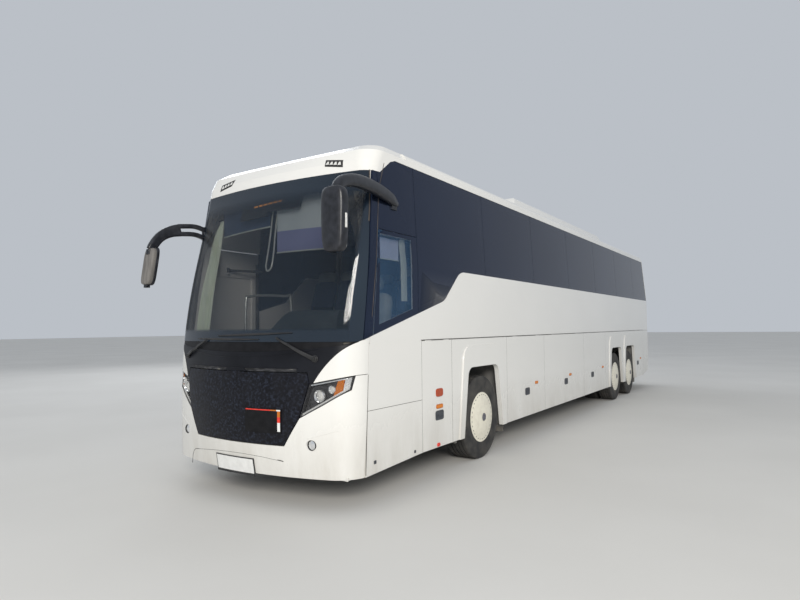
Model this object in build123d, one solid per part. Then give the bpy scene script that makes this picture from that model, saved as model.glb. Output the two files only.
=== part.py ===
from build123d import *
from math import atan, atan2, cos, pi, sin, sqrt
import os

# Three-axle touring coach, left-hand drive, in millimetres, +Z up.
# While it is drawn, x runs to the vehicle's left, y runs to the rear from the front axle,
# and z runs up from the road. Every piece is then moved so that y = 0 is mid-length.

# Overall sizes
BODY_W = 2550
FRONT_OVERHANG = 2980
WHEELBASE = 6910
TAG_SPACING = 1350
REAR_OVERHANG = 2460

# Heights above the road
SKIRT_Z = 342
BUMPER_Z = 297
FLAP_TOP_Z = 1530
BELT_Z = 2335
GLASS_TOP_Z = 3400
ROOF_CORNER_Z = 3530
ROOF_Z = 3620
POD_TOP_Z = 3800
HOLD_FLOOR_Z = 445
CAB_FLOOR_Z = 1000
FLOOR_Z = 1380

# Walls and gaps
SIDE_WALL = 64
FIXED_PANEL = 46
FLAP = 40
SKIN = 24
LID = 18
FRAME = 30
GLASS = 24
GLASS_INSET = 5
PLATE = 40
LINER = 20
SEAM = 5
FLAP_GAP = 6
DOOR_GAP = 9
CLEAR = 0.05

# Wheels and axles
TYRE_R = 522
TYRE_W = 290
TYRE_FACE = 30
BEAD_R = 286
TWIN_SPACING = 340
KINGPIN_X = 930
KINGPIN_R = 25
SPINDLE_R = 45
RAIL_X = 450
RAIL_W = 80

# Doors
FRONT_DOOR = (-2440, -1510)
MID_DOOR = (4500, 5350)
DOOR_SILL_Z = 385
FRONT_DOOR_TOP_Z = 2640
MID_DOOR_TOP_Z = 2290
DOOR_OUT = 130
ARM_R = 15
POST_R = 22

HALF = BODY_W / 2
TOP_HALF = HALF - 55
LEAN = (HALF - TOP_HALF) / (GLASS_TOP_Z - BELT_Z)
REAR_Y = WHEELBASE + TAG_SPACING + REAR_OVERHANG
TAG_Y = WHEELBASE + TAG_SPACING
POST_X = HALF - FIXED_PANEL
LEG_X = POST_X - 58
WHEEL_X = HALF - TYRE_FACE - TYRE_W / 2
MIRROR_REACH = 170
MIRROR_Y = -FRONT_OVERHANG - MIRROR_REACH
MID_Y = (REAR_Y + MIRROR_Y) / 2

os.makedirs("parts", exist_ok=True)


def save(node, *solids):
    """Write the solids of one node, moved to the frame with its origin at mid-length."""
    shape = Compound(children=[Pos(0, -MID_Y, 0) * s for part in solids for s in part.solids()])
    export_step(shape, f"parts/{node}.step")


def half_at(z):
    """Half width of the body side at height z: upright to the belt, then leaning in."""
    return HALF - LEAN * max(0, z - BELT_Z)


def along_x(profile, x0, x1):
    """A side-view profile of (y, z) points or a sketch, run from x0 to x1."""
    face = Polygon(*profile, align=None) if isinstance(profile, list) else profile
    return extrude(Plane.YZ.offset(x0) * face, amount=x1 - x0, dir=(1, 0, 0))


def along_y(profile, y0, y1):
    """A front-view profile of (x, z) points or a sketch, run from y0 to y1."""
    face = Polygon(*profile, align=None) if isinstance(profile, list) else profile
    return extrude(Plane.XZ.offset(-y0) * face, amount=y1 - y0, dir=(0, 1, 0))


def block(x0, x1, y0, y1, z0, z1):
    """A plain block between two corners."""
    return Pos((x0 + x1) / 2, (y0 + y1) / 2, (z0 + z1) / 2) * Box(x1 - x0, y1 - y0, z1 - z0)


def both(part):
    """The part and its mirror image on the other side of the vehicle."""
    return part + mirror(part, Plane.YZ)


def shrink(face, gap):
    """A panel's outline pulled in by half of the seam around it."""
    return offset(face, amount=-gap / 2)


# Plan outline of the nose or tail at one height: a wide arc, two corner arcs and two straight sides.
def plan(z, end, corner, half, radius, back, way):
    turn = pi / 2 - 2 * atan((end - corner - radius) / (half - radius))
    arc = [(half - radius + radius * cos(a), way * (corner + radius * sin(a)))
           for a in (0, turn / 2, turn)]
    lefts = [(-x, y) for x, y in arc]
    outline = [
        Line((half, way * back), arc[0]),
        ThreePointArc(*arc),
        ThreePointArc(arc[2], (0, way * end), lefts[2]),
        ThreePointArc(*reversed(lefts)),
        Line(lefts[0], (-half, way * back)),
        Line((-half, way * back), (half, way * back)),
    ]
    return Pos(0, 0, z) * make_face(outline)


# Nose sections. Columns: height, setback of the front from the bumper's foremost point,
# how far ahead of the front axle the corner starts, tuck-in of the side, corner radius.
NOSE = [
    (BUMPER_Z, 55, 2450, 8, 320),
    (700, 0, 2450, 0, 330),
    (1450, 45, 2450, 0, 300),
    (BELT_Z, 245, 2327, 0, 250),
    (3215, 510, 2190, 0, 180),
]
SCREEN_TOP_Z = NOSE[-1][0]


def nose(inset, back=1900):
    """The solid nose up to the windscreen's top, its surface pulled in by inset."""
    return loft([plan(z, FRONT_OVERHANG - set_back - inset, corner, half_at(z) - tuck - inset,
                      radius - inset, back, -1)
                 for z, set_back, corner, tuck, radius in NOSE])


FRAME_IN = SKIN + FRAME
nose_outside = nose(0)
nose_inside = nose(SKIN)
frame_inside = nose(FRAME_IN)


# Front-view corner points of the mask's panels, left half (x, z)
LID_FOOT = (620, 585)
LID_KNEE = (690, 700)
LAMP_IN_LOW = (782, 849)
LAMP_IN_TOP = (870, 1163)
LAMP_OUT_TOP = (1236, 1238)
LAMP_OUT_LOW = (1216, 1108)
LAMP_MID_LOW = (1010, 978)
LID_TOP = (846, 1268)
SWEEP_LOW = (905, 1170)
SWEEP_MID = (1055, 1383)
SWEEP_TOP = (1245, 1546)
SCREEN_BASE_Z = SWEEP_TOP[1]
HATCH_Z = 1262
WIDE = HALF + 150


def flip(point):
    return (-point[0], point[1])


def mask_piece(face, shell, gap=SEAM):
    return shell & along_y(shrink(face, gap), -FRONT_OVERHANG - 200, -1900)


# Side-view lines (y, z): the seam behind the mask, the windscreen's edge and the belt with its kick
MASK_SEAM = [(-2515, 250), (-2450, FLAP_TOP_Z), (-2430, 1588)]
SCREEN_EDGE = [(-2524, 1563), (-2300, SCREEN_TOP_Z)]
KICK_LOW = (-985, 1975)
KICK_TOP = (-590, BELT_Z)
KICK_SLOPE = (KICK_LOW[1] - MASK_SEAM[2][1]) / (KICK_LOW[0] - MASK_SEAM[2][0])
KICK_FRONT = (-3200, MASK_SEAM[2][1] + KICK_SLOPE * (-3200 - MASK_SEAM[2][0]))
CAP_CORNER = [(-2190, SCREEN_TOP_Z), (-1990, 3365), (-1900, GLASS_TOP_Z)]
REAR_GLASS = [(10440, BELT_Z), (10240, GLASS_TOP_Z)]

# The glass zone in side view, over the belt and ahead of the rear post
glass_zone = Polygon(KICK_FRONT, KICK_LOW, KICK_TOP, (REAR_GLASS[0][0] + 10, BELT_Z),
                     (REAR_GLASS[1][0] + 10, GLASS_TOP_Z - SEAM),
                     (CAP_CORNER[2][0], GLASS_TOP_Z - SEAM), CAP_CORNER[1], CAP_CORNER[0],
                     (-3200, SCREEN_TOP_Z), align=None)
kicks = [v for v in glass_zone.vertices()
         if (round(v.X), round(v.Y)) in (KICK_LOW, KICK_TOP)]
glass_zone = fillet(kicks, 260)

# Everything ahead of the seam, and the zones over and under the belt
seam_line = [(y - SEAM / 2, z) for y, z in MASK_SEAM]
ahead = along_x([(-3300, 200)] + seam_line + [(-2400, 1700), (-3300, 1700)], -HALF - 100, HALF + 100)
under_belt = along_x([(KICK_FRONT[0], KICK_FRONT[1] - SEAM / 2), (KICK_LOW[0], KICK_LOW[1] - SEAM / 2),
                      (KICK_LOW[0], 0), (KICK_FRONT[0], 0)], -HALF - 100, HALF + 100)
swoop = [SWEEP_LOW, SWEEP_MID, SWEEP_TOP]
right_swoop = [flip(p) for p in swoop]

# Mask panels, each a piece of the nose's skin
skin = nose_outside - nose_inside

lid_face = Polygon(LID_FOOT, LID_KNEE, LAMP_IN_LOW, LAMP_IN_TOP, LID_TOP, flip(LID_TOP), flip(LAMP_IN_TOP),
                   flip(LAMP_IN_LOW), flip(LID_KNEE), flip(LID_FOOT), align=None)
front_lid = (nose_outside - nose(LID)) & along_y(shrink(lid_face, 2 * FLAP_GAP), -FRONT_OVERHANG - 200, -1900)
LID_HINGE_R = 4.5
LID_HINGE = (-2958, LID_TOP[1] + SEAM / 2 - 0.3 - LID_HINGE_R)
front_lid = front_lid + Pos(0, *LID_HINGE) * Rot(0, 90, 0) * Cylinder(LID_HINGE_R, 200)

wiper_face = make_face([
    Line(flip(SWEEP_TOP), SWEEP_TOP),
    ThreePointArc(*reversed(swoop)),
    Line(SWEEP_LOW, LAMP_IN_TOP),
    Line(LAMP_IN_TOP, LID_TOP),
    Line(LID_TOP, flip(LID_TOP)),
    Line(flip(LID_TOP), flip(LAMP_IN_TOP)),
    Line(flip(LAMP_IN_TOP), flip(SWEEP_LOW)),
    ThreePointArc(*right_swoop),
])
wiper_panel = mask_piece(wiper_face, skin) & under_belt

corner_face = make_face([
    ThreePointArc(*swoop),
    Line(SWEEP_TOP, (SWEEP_TOP[0], 1700)),
    Line((SWEEP_TOP[0], 1700), (WIDE, 1700)),
    Line((WIDE, 1700), (WIDE, HATCH_Z)),
    Line((WIDE, HATCH_Z), LAMP_OUT_TOP),
    Line(LAMP_OUT_TOP, SWEEP_LOW),
])
corner_panel = mask_piece(corner_face, skin) & ahead & under_belt
front_corner_panels = both(corner_panel)

LAMP_END_Y = -2579.4
lamp_face = Polygon(LAMP_IN_LOW, LAMP_IN_TOP, LAMP_OUT_TOP, LAMP_OUT_LOW, LAMP_MID_LOW, align=None)
headlight = mask_piece(lamp_face, nose_outside - frame_inside)
headlight = headlight - block(0, HALF + 50, LAMP_END_Y, -1900, 700, 1400)

FOG_X = 887
FOG_Z = 605
FOG_R = 48
bumper_face = Polygon((-WIDE, 200), (WIDE, 200), (WIDE, HATCH_Z), LAMP_OUT_TOP, LAMP_OUT_LOW,
                      LAMP_MID_LOW, LAMP_IN_LOW, LID_KNEE, LID_FOOT, flip(LID_FOOT), flip(LID_KNEE),
                      flip(LAMP_IN_LOW), flip(LAMP_MID_LOW), flip(LAMP_OUT_LOW), flip(LAMP_OUT_TOP),
                      (-WIDE, HATCH_Z), align=None)
fog_hole = Pos(FOG_X, -2800, FOG_Z) * Rot(90, 0, 0) * Cylinder(FOG_R, 300)
fog_lamp = skin & Pos(FOG_X, -2800, FOG_Z) * Rot(90, 0, 0) * Cylinder(FOG_R - 1, 300)
front_bumper = mask_piece(bumper_face, skin) & ahead
front_bumper = front_bumper - both(fog_hole)
headlights = both(headlight) + both(fog_lamp)

screen_zone = along_x([(KICK_FRONT[0], SCREEN_BASE_Z + SEAM / 2), (-2590, SCREEN_BASE_Z + SEAM / 2),
                       (SCREEN_EDGE[0][0] - SEAM / 2, SCREEN_EDGE[0][1] + SEAM / 2),
                       (SCREEN_EDGE[1][0] - SEAM / 2, SCREEN_TOP_Z), (KICK_FRONT[0], SCREEN_TOP_Z)],
                      -HALF - 100, HALF + 100)
windscreen = skin & screen_zone

# Frame hoop behind the mask: two pillars ahead of the side walls, rails under and over the screen,
# one over the lamps and one behind the bumper
wall_front = [(y + SEAM / 2, z) for y, z in (MASK_SEAM[0], MASK_SEAM[1], MASK_SEAM[2], *SCREEN_EDGE)]
PILLAR_DEEP = 60
frame_shell = nose_inside - frame_inside
hoop = along_x(wall_front + [(wall_front[4][0] - PILLAR_DEEP, SCREEN_TOP_Z),
                             (wall_front[3][0] - PILLAR_DEEP, 1600), (wall_front[0][0] - PILLAR_DEEP, 250)],
               -HALF - 50, HALF + 50)
pillars = frame_shell & hoop
# Columns: bottom, top and rear end of each rail
RAILS = [(440, 560, -2540), (1275, 1335, -2540), (1500, 1590, -2540), (3150, SCREEN_TOP_Z, -2340)]
front_frame = [pillars]
for low, high, back in RAILS:
    front_frame.append((frame_shell & block(-HALF - 50, HALF + 50, -3200, back, low, high)) - hoop)

# Roof section, half outline from the cant rail to the crown (x, z)
CANT_Z = 3450
CANT_X = half_at(GLASS_TOP_Z) - 4
ROOF_EDGE_X = 1150
ROOF_R = (ROOF_EDGE_X ** 2 + (ROOF_Z - ROOF_CORNER_Z) ** 2) / (2 * (ROOF_Z - ROOF_CORNER_Z))


def roof_face(inset, foot_z):
    """The roof's solid section, its outline pulled in by inset, down to foot_z."""
    foot = (half_at(GLASS_TOP_Z) - inset, foot_z)
    cant = (CANT_X - inset, CANT_Z)
    bend = (CANT_X - 14 - inset, CANT_Z + 48 - inset * 0.3)
    edge = (ROOF_EDGE_X - inset * 0.6, ROOF_CORNER_Z - inset)
    crown = (0, ROOF_Z - inset)
    return make_face([
        Line(foot, cant),
        ThreePointArc(cant, bend, edge),
        ThreePointArc(edge, crown, flip(edge)),
        ThreePointArc(flip(edge), flip(bend), flip(cant)),
        Line(flip(cant), flip(foot)),
        Line(flip(foot), foot),
    ])


def crown_half(z):
    """Half width of the roof's crown arc at height z."""
    drop = ROOF_Z - z
    return sqrt(2 * ROOF_R * drop - drop * drop)


CAP_BACK = -1700
TAIL_ROOF = 10180
ROOF_SPLIT = 700
roof_shell = along_y(roof_face(0, GLASS_TOP_Z), CAP_BACK + SEAM, TAIL_ROOF - SEAM)
roof_shell = roof_shell - along_y(roof_face(50, GLASS_TOP_Z - 20), CAP_BACK - 50, TAIL_ROOF + 50)

# Cap over the windscreen. Columns: height, front ahead of the axle, corner start, half width, corner radius.
CAP = [
    (SCREEN_TOP_Z + 3, 2469, 2189, half_at(SCREEN_TOP_Z), 180),
    (3330, 2422, 2160, half_at(3330), 190),
    (CANT_Z, 2335, 2090, CANT_X, 210),
    (ROOF_CORNER_Z, 2180, 1980, ROOF_EDGE_X, 190),
    (3592, 1960, 1830, crown_half(3592), 120),
]


def cap_body(inset):
    rows = [(z - inset * i / (len(CAP) - 1), end - inset, corner, half - inset, radius - inset * 0.7)
            for i, (z, end, corner, half, radius) in enumerate(CAP)]
    return loft([plan(z, end, corner, half, radius, -CAP_BACK - 60, -1) for z, end, corner, half, radius in rows],
                ruled=True)


cap_zone = along_x([(-2600, SCREEN_TOP_Z), *CAP_CORNER, (CAP_BACK, GLASS_TOP_Z), (CAP_BACK, ROOF_Z + 50),
                    (-2600, ROOF_Z + 50)],
                   -HALF - 50, HALF + 50)
front_cap = (cap_body(0) - cap_body(SKIN)) & cap_zone

# Air-conditioning pod on the roof
POD_Y = (1900, 7400)
POD_HALF = 950
pod_side = fillet(Polygon((POD_Y[0], 3500), (POD_Y[0] + 260, POD_TOP_Z), (POD_Y[1] - 320, POD_TOP_Z),
                          (POD_Y[1], 3500), align=None).vertices().sort_by(Axis.Y)[-2:], 120)
pod_front = fillet(Polygon((-POD_HALF, 3500), (-POD_HALF + 90, POD_TOP_Z), (POD_HALF - 90, POD_TOP_Z),
                           (POD_HALF, 3500), align=None).vertices().sort_by(Axis.Y)[-2:], 90)
air_conditioner = along_x(pod_side, -POD_HALF, POD_HALF) & along_y(pod_front, *POD_Y)
air_conditioner = air_conditioner - along_y(roof_face(0, 3000), POD_Y[0] - 10, POD_Y[1] + 10)


# Side walls. A section line follows the body side at a given depth from its surface.
def side_line(depth, foot_z):
    return [(HALF - depth, foot_z), (HALF - depth, BELT_Z), (TOP_HALF - depth, GLASS_TOP_Z)]


WALL_FOOT_Z = FLAP_TOP_Z + FLAP_GAP / 2
SILL_Z = FLOOR_Z - PLATE - 10
wall_section = [(HALF, WALL_FOOT_Z)] + side_line(0, WALL_FOOT_Z)[1:] + [
    (TOP_HALF - SIDE_WALL, GLASS_TOP_Z), (HALF - SIDE_WALL, BELT_Z), (HALF - SIDE_WALL, 1600),
    (LEG_X, 1560), (LEG_X, SILL_Z), (POST_X, SILL_Z), (POST_X, WALL_FOOT_Z)]
glass_section = side_line(GLASS_INSET, 1500) + side_line(GLASS_INSET + GLASS, 1500)[::-1]
recess_section = side_line(-5, 1500) + side_line(GLASS_INSET + GLASS, 1500)[::-1]

WALL_FRONT = MASK_SEAM[1][0] + 4
WALL_REAR = 10465
side_zone = Polygon(*wall_front, *CAP_CORNER,
                    REAR_GLASS[1], REAR_GLASS[0], (WALL_REAR, BELT_Z), (WALL_REAR, 250), align=None)

# Window bays. Columns: front and rear edge of the pane (y).
PILLARS = [-1555, 130, 1880, 3630, 5380, 7130, 8880]
bays = list(zip(PILLARS, PILLARS[1:] + [10440]))
PILLAR_W = 90
WINDOW_LOW_Z = BELT_Z + 60
WINDOW_TOP_Z = GLASS_TOP_Z - 70
DRIVER_TOP_Z = 2640

kick_low = [(y, z + 60) for y, z in (KICK_FRONT, KICK_LOW, KICK_TOP)]
window_zone = Polygon(*kick_low, (10340, WINDOW_LOW_Z), (10200, WINDOW_TOP_Z), (-1900, WINDOW_TOP_Z),
                      (-3200, WINDOW_TOP_Z), align=None)


def window_hole(y0, y1):
    hole = window_zone & Polygon((y0, 1500), (y1, 1500), (y1, 3500), (y0, 3500), align=None)
    return fillet(hole.vertices(), 30)


holes = [window_hole(y0 + PILLAR_W / 2, y1 - PILLAR_W / 2) for y0, y1 in bays]
driver_hole = window_zone & Polygon((-2270, 1500), (-1600, 1500), (-1600, DRIVER_TOP_Z - 40),
                                    (-2270, DRIVER_TOP_Z - 40), align=None)

wall = along_y(wall_section, -2600, WALL_REAR)
wall = wall & along_x(side_zone, 1000, 1400)
wall = wall - (along_y(recess_section, -2700, WALL_REAR + 50) & along_x(glass_zone, 1000, 1400))
for hole in holes:
    wall = wall - along_x(hole, 1000, 1400)
left_side_panel = wall - along_x(driver_hole, 1000, 1400)

# The front door's leading edge follows the seam behind the mask, then leans back with the screen
LEAF_EDGE = [(MASK_SEAM[0][0], MASK_SEAM[0][1]), MASK_SEAM[1], MASK_SEAM[2], (-2300, FRONT_DOOR_TOP_Z)]
door_front = [(y - SEAM / 2, z) for y, z in LEAF_EDGE]
front_door_zone = Polygon(*door_front[:3], (door_front[3][0], FRONT_DOOR_TOP_Z + DOOR_GAP),
                          (FRONT_DOOR[1] + DOOR_GAP, FRONT_DOOR_TOP_Z + DOOR_GAP),
                          (FRONT_DOOR[1] + DOOR_GAP, MASK_SEAM[0][1]), align=None)
mid_door_zone = Polygon((MID_DOOR[0] - DOOR_GAP, 250), (MID_DOOR[1] + DOOR_GAP, 250),
                        (MID_DOOR[1] + DOOR_GAP, MID_DOOR_TOP_Z + DOOR_GAP),
                        (MID_DOOR[0] - DOOR_GAP, MID_DOOR_TOP_Z + DOOR_GAP), align=None)
door_zones = along_x(front_door_zone, 1000, 1400) + along_x(mid_door_zone, 1000, 1400)
right_side_panel = mirror(wall - door_zones, Plane.YZ)

# Panes, split at the pillars, with the driver's window and the pillar cover ahead of it
pane_band = along_y(glass_section, -2700, WALL_REAR) & along_x(glass_zone & side_zone, 1000, 1400)


def pane(y0, y1, z0=1500, z1=3500):
    cut = Polygon((y0 + 3, z0), (y1 - 3, z0), (y1 - 3, z1), (y0 + 3, z1), align=None)
    return pane_band & along_x(cut, 1000, 1400)


side_panes = [pane(y0, y1) for y0, y1 in bays]
PILLAR_COVER = [(-2700, 1500), (-2395, 1500), (-2180, 3300), (-2180, 3500), (-2700, 3500)]
cover_zone = along_x(PILLAR_COVER, 1000, 1400)
high_pane = pane(-2700, PILLARS[0], DRIVER_TOP_Z + 3) - cover_zone
pillar_cover = pane_band & cover_zone
driver_pane = pane(-2700, PILLARS[0], 1500, DRIVER_TOP_Z - 3) - along_x(
    [(y + 6, z) for y, z in PILLAR_COVER], 1000, 1400)
left_windows = side_panes + [high_pane, pillar_cover, driver_pane]
right_windows = [mirror(p - door_zones, Plane.YZ) for p in side_panes + [high_pane, pillar_cover]]

# Lower side. The seams between the panels, counted back from the front axle.
SIDE_SEAMS = [-1507, -837, 755, 2250, 4416, 5990, 8880, 9840]
HATCH_SPLIT_Z = 900


def lower_face(y0, y1, z0=SKIRT_Z, z1=FLAP_TOP_Z):
    return Polygon((y0, z0), (y1, z0), (y1, z1), (y0, z1), align=None)


HINGE_R = 3.2
HINGE_Z = WALL_FOOT_Z - 0.3 - HINGE_R
HINGE_LEN = 120


def flap_panel(y0, y1):
    """A side flap hung from two hinge barrels along its top edge."""
    flap = along_x(shrink(lower_face(y0, y1), FLAP_GAP), HALF - FLAP, HALF)
    for y in (y0 + (y1 - y0) / 5, y1 - (y1 - y0) / 5):
        flap = flap + Pos(HALF, y, HINGE_Z) * Rot(90, 0, 0) * Cylinder(HINGE_R, HINGE_LEN)
    return flap


def fixed_panel(face):
    return along_x(shrink(face, SEAM), POST_X, HALF)


# Wheel arch: trapezoid opening with rounded corners and a raised flare around it
ARCH_LOW = 600
ARCH_TOP = 430
ARCH_Z = 1175
FLARE = 15


def arch_face(y, grow=0, top_grow=0):
    points = [(y - ARCH_LOW - grow, 150), (y - ARCH_TOP - grow, ARCH_Z + top_grow),
              (y + ARCH_TOP + grow, ARCH_Z + top_grow), (y + ARCH_LOW + grow, 150)]
    face = Polygon(*points, align=None)
    return fillet(face.vertices().sort_by(Axis.Y)[-2:], 120 + grow / 2)


FLARE_GROW = 105
FLARE_TOP = 265


def arch_panel(y0, y1, centres):
    """A skirt panel with its wheel openings and their flares."""
    panel = fixed_panel(lower_face(y0, y1))
    flares = lower_face(y0 + 8, y1 - 8, SKIRT_Z + SEAM / 2, FLAP_TOP_Z - 40) & Sketch() + [
        arch_face(y, FLARE_GROW, FLARE_TOP) for y in centres]
    panel = panel + along_x(flares, HALF - 1, HALF + FLARE)
    for y in centres:
        panel = panel - along_x(arch_face(y), HALF - 100, HALF + 100)
    return panel


front_arch = arch_panel(SIDE_SEAMS[1], SIDE_SEAMS[2], [0])
rear_arch = arch_panel(SIDE_SEAMS[5], SIDE_SEAMS[6], [WHEELBASE, TAG_Y])
wheel_arch_panels = both(front_arch) + both(rear_arch)


def seam_y(z):
    """How far forward the seam behind the mask is at height z, below the flaps' top."""
    (y0, z0), (y1, z1) = MASK_SEAM[:2]
    return y0 + (y1 - y0) * (z - z0) / (z1 - z0)


driver_low = Polygon((seam_y(BUMPER_Z), BUMPER_Z), (SIDE_SEAMS[0], SKIRT_Z), (SIDE_SEAMS[0], HATCH_SPLIT_Z),
                     (seam_y(HATCH_SPLIT_Z), HATCH_SPLIT_Z), align=None)
driver_high = Polygon((seam_y(HATCH_SPLIT_Z), HATCH_SPLIT_Z), (SIDE_SEAMS[0], HATCH_SPLIT_Z),
                      (SIDE_SEAMS[0], FLAP_TOP_Z), MASK_SEAM[1], align=None)
corner_low = Polygon((SIDE_SEAMS[7], 366), (WALL_REAR, 440), (WALL_REAR, FLAP_TOP_Z),
                     (SIDE_SEAMS[7], FLAP_TOP_Z), align=None)
skirt_panels = (
    fixed_panel(driver_low) + fixed_panel(driver_high) + both(fixed_panel(corner_low))
    + mirror(fixed_panel(lower_face(SIDE_SEAMS[0], SIDE_SEAMS[1])), Plane.YZ)
    + mirror(fixed_panel(lower_face(MID_DOOR[1] + DOOR_GAP, SIDE_SEAMS[5])), Plane.YZ)
    + mirror(fixed_panel(lower_face(SIDE_SEAMS[4], MID_DOOR[0] - DOOR_GAP)), Plane.YZ))

flap_left = [flap_panel(y0, y1) for y0, y1 in zip(SIDE_SEAMS[2:5], SIDE_SEAMS[3:6])]
flap_right = [mirror(f, Plane.YZ) for f in flap_left[:2]]
service_flap_left = flap_panel(SIDE_SEAMS[0], SIDE_SEAMS[1])
rear_service_left = flap_panel(SIDE_SEAMS[6], SIDE_SEAMS[7])
rear_service_right = mirror(rear_service_left, Plane.YZ)

# Tail sections. Columns: height, setback from the rearmost point, how far ahead of it the corner starts,
# tuck-in of the side, corner radius.
TAIL = [
    (430, 40, 255, 6, 200),
    (1000, 0, 255, 0, 210),
    (BELT_Z, 60, 280, 0, 200),
    (GLASS_TOP_Z, 290, 480, 0, 170),
]
# Dome over the tail. Columns: height, rear end, corner start, half width, corner radius.
DOME = [
    (GLASS_TOP_Z, REAR_Y - 290, REAR_Y - 480, half_at(GLASS_TOP_Z), 170),
    (CANT_Z, REAR_Y - 320, REAR_Y - 500, CANT_X, 160),
    (ROOF_CORNER_Z, REAR_Y - 420, REAR_Y - 530, ROOF_EDGE_X, 100),
    (3592, REAR_Y - 480, REAR_Y - 530, crown_half(3592), 45),
]


def tail(inset):
    low = loft([plan(z, REAR_Y - set_back - inset, REAR_Y - corner, half_at(z) - tuck - inset, radius - inset,
                     TAIL_ROOF - 100, 1) for z, set_back, corner, tuck, radius in TAIL], ruled=True)
    high = loft([plan(z - inset * i / 3, end - inset, corner - inset * 0.6, half - inset, radius - inset * 0.6,
                      TAIL_ROOF - 100, 1) for i, (z, end, corner, half, radius) in enumerate(DOME)], ruled=True)
    return low, high


tail_low, tail_high = tail(0)
tail_low_in, tail_high_in = tail(PLATE)
tail_zone = along_x([(WALL_REAR, 400), (WALL_REAR, BELT_Z), REAR_GLASS[0], REAR_GLASS[1],
                     (REAR_Y + 50, GLASS_TOP_Z), (REAR_Y + 50, 400)], -HALF - 50, HALF + 50)
tail_skin = (tail_low - tail_low_in) & tail_zone
dome_skin = (tail_high - tail_high_in) & block(-HALF - 50, HALF + 50, TAIL_ROOF, REAR_Y + 50, GLASS_TOP_Z, 3700)

# Rear-view outlines (x, z): window, engine lid, lamps and bumper
REAR_FROM = 10300
rear_glass_face = fillet(Polygon((-960, 2360), (960, 2360), (900, 3200), (-900, 3200), align=None).vertices(), 60)
lid_out = fillet(Polygon((-820, 960), (820, 960), (820, 1980), (-820, 1980), align=None).vertices(), 40)
lamp_out = fillet(Polygon((900, 1000), (1130, 1000), (1130, 1780), (960, 1780), align=None).vertices(), 30)
BUMPER_TOP = 930


def rear_cut(face, grow=0.0):
    return along_y(offset(face, amount=grow) if grow else face, REAR_FROM, REAR_Y + 100)


rear_bumper = tail_skin & block(-HALF - 50, HALF + 50, 10000, REAR_Y + 50, 400, BUMPER_TOP - SEAM)
rear_panel = tail_skin - block(-HALF - 50, HALF + 50, 10000, REAR_Y + 50, 400, BUMPER_TOP)
rear_panel = rear_panel - rear_cut(rear_glass_face) - rear_cut(lid_out) - both(rear_cut(lamp_out))
rear_window = tail_skin & rear_cut(rear_glass_face, -0.3)
tail_lamps = both(tail_skin & rear_cut(lamp_out, -0.3))
engine_lid = (tail_low - tail(LID)[0]) & rear_cut(lid_out, -FLAP_GAP)
for i in range(9):
    z = 1060 + i * 48
    engine_lid = engine_lid - block(-600, 600, REAR_Y - 90, REAR_Y + 50, z, z + 22)
ENGINE_LID_TOP = 1980
ENGINE_HINGE = (REAR_Y - 48, ENGINE_LID_TOP - 0.3 - HINGE_R)
for x in (-300, 300):
    engine_lid = engine_lid + Pos(x, *ENGINE_HINGE) * Rot(0, 90, 0) * Cylinder(HINGE_R, HINGE_LEN)
save("rear_panel", rear_panel, dome_skin)
save("rear_window", rear_window)
save("tail_lamps", tail_lamps)
save("rear_bumper", rear_bumper)
save("engine_lid", engine_lid)


# Underframe: two rails that drop between the axles, cross members, posts behind the flap seams
RAIL_PATH = [(-2740, 480, 640), (-1100, 480, 640), (-760, 700, 850), (700, 700, 850), (860, 345, 425),
             (5880, 345, 425), (6180, 700, 850), (8980, 700, 850), (9260, 520, 700), (10440, 520, 700)]
rail_side = [(y, low) for y, low, _ in RAIL_PATH] + [(y, high) for y, _, high in reversed(RAIL_PATH)]
rails = both(along_x(rail_side, RAIL_X - RAIL_W / 2, RAIL_X + RAIL_W / 2))

# Cross members. Columns: y, bottom, top, right end, left end.
STAIR_IN = -450
STAIR_BACK = FRONT_DOOR[1] + 10
CAB_BACK = -1300
POST_W = 50
JAMB_Y = STAIR_BACK + LINER + POST_W / 2
WELL = (MID_DOOR[0] - 60, MID_DOOR[1] + 60)
CROSS = [
    (-2700, 480, 560, STAIR_IN, 1000),
    (-2400, 480, 560, STAIR_IN, POST_X),
    (SIDE_SEAMS[0], 480, 560, STAIR_IN, POST_X),
    (JAMB_Y, 480, 560, -POST_X, STAIR_IN),
    (SIDE_SEAMS[1], 600, 680, -POST_X, POST_X),
    (SIDE_SEAMS[2], 600, 680, -POST_X, POST_X),
    (SIDE_SEAMS[3], 345, 425, -POST_X, POST_X),
    (SIDE_SEAMS[4], 345, 425, -POST_X, POST_X),
    (WELL[1] + POST_W, 345, 425, -POST_X, -RAIL_X),
    (SIDE_SEAMS[5] - 20, 455, 535, -POST_X, POST_X),
    (SIDE_SEAMS[6] + 15, 710, 790, -POST_X, POST_X),
    (SIDE_SEAMS[7], 560, 640, -POST_X, -RAIL_X),
    (SIDE_SEAMS[7], 560, 640, RAIL_X, POST_X),
    (10400, 560, 640, -POST_X, POST_X),
]
members = []
for y, low, high, right, left in CROSS:
    y0, y1 = y - POST_W / 2, y + POST_W / 2
    foot = 360 if y < 9000 else 470
    beam = block(max(right, -LEG_X), min(left, LEG_X), y0, y1, low, high)
    members.append(beam - rails - front_frame[1])
    if left == POST_X:
        members.append(block(LEG_X, POST_X, y0, y1, foot, SILL_Z))
    if right == -POST_X:
        members.append(block(-POST_X, -LEG_X, y0, y1, foot, SILL_Z))
for y in (-2700, SIDE_SEAMS[0]):
    for x in (RAIL_X, -RAIL_X + 52):
        members.append(block(x - 30, x + 30, y - 25, y + 25, 640, CAB_FLOOR_Z - PLATE))
horn = block(RAIL_X - RAIL_W / 2, RAIL_X + RAIL_W / 2, -3000, -2740, 480, 560)
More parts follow.
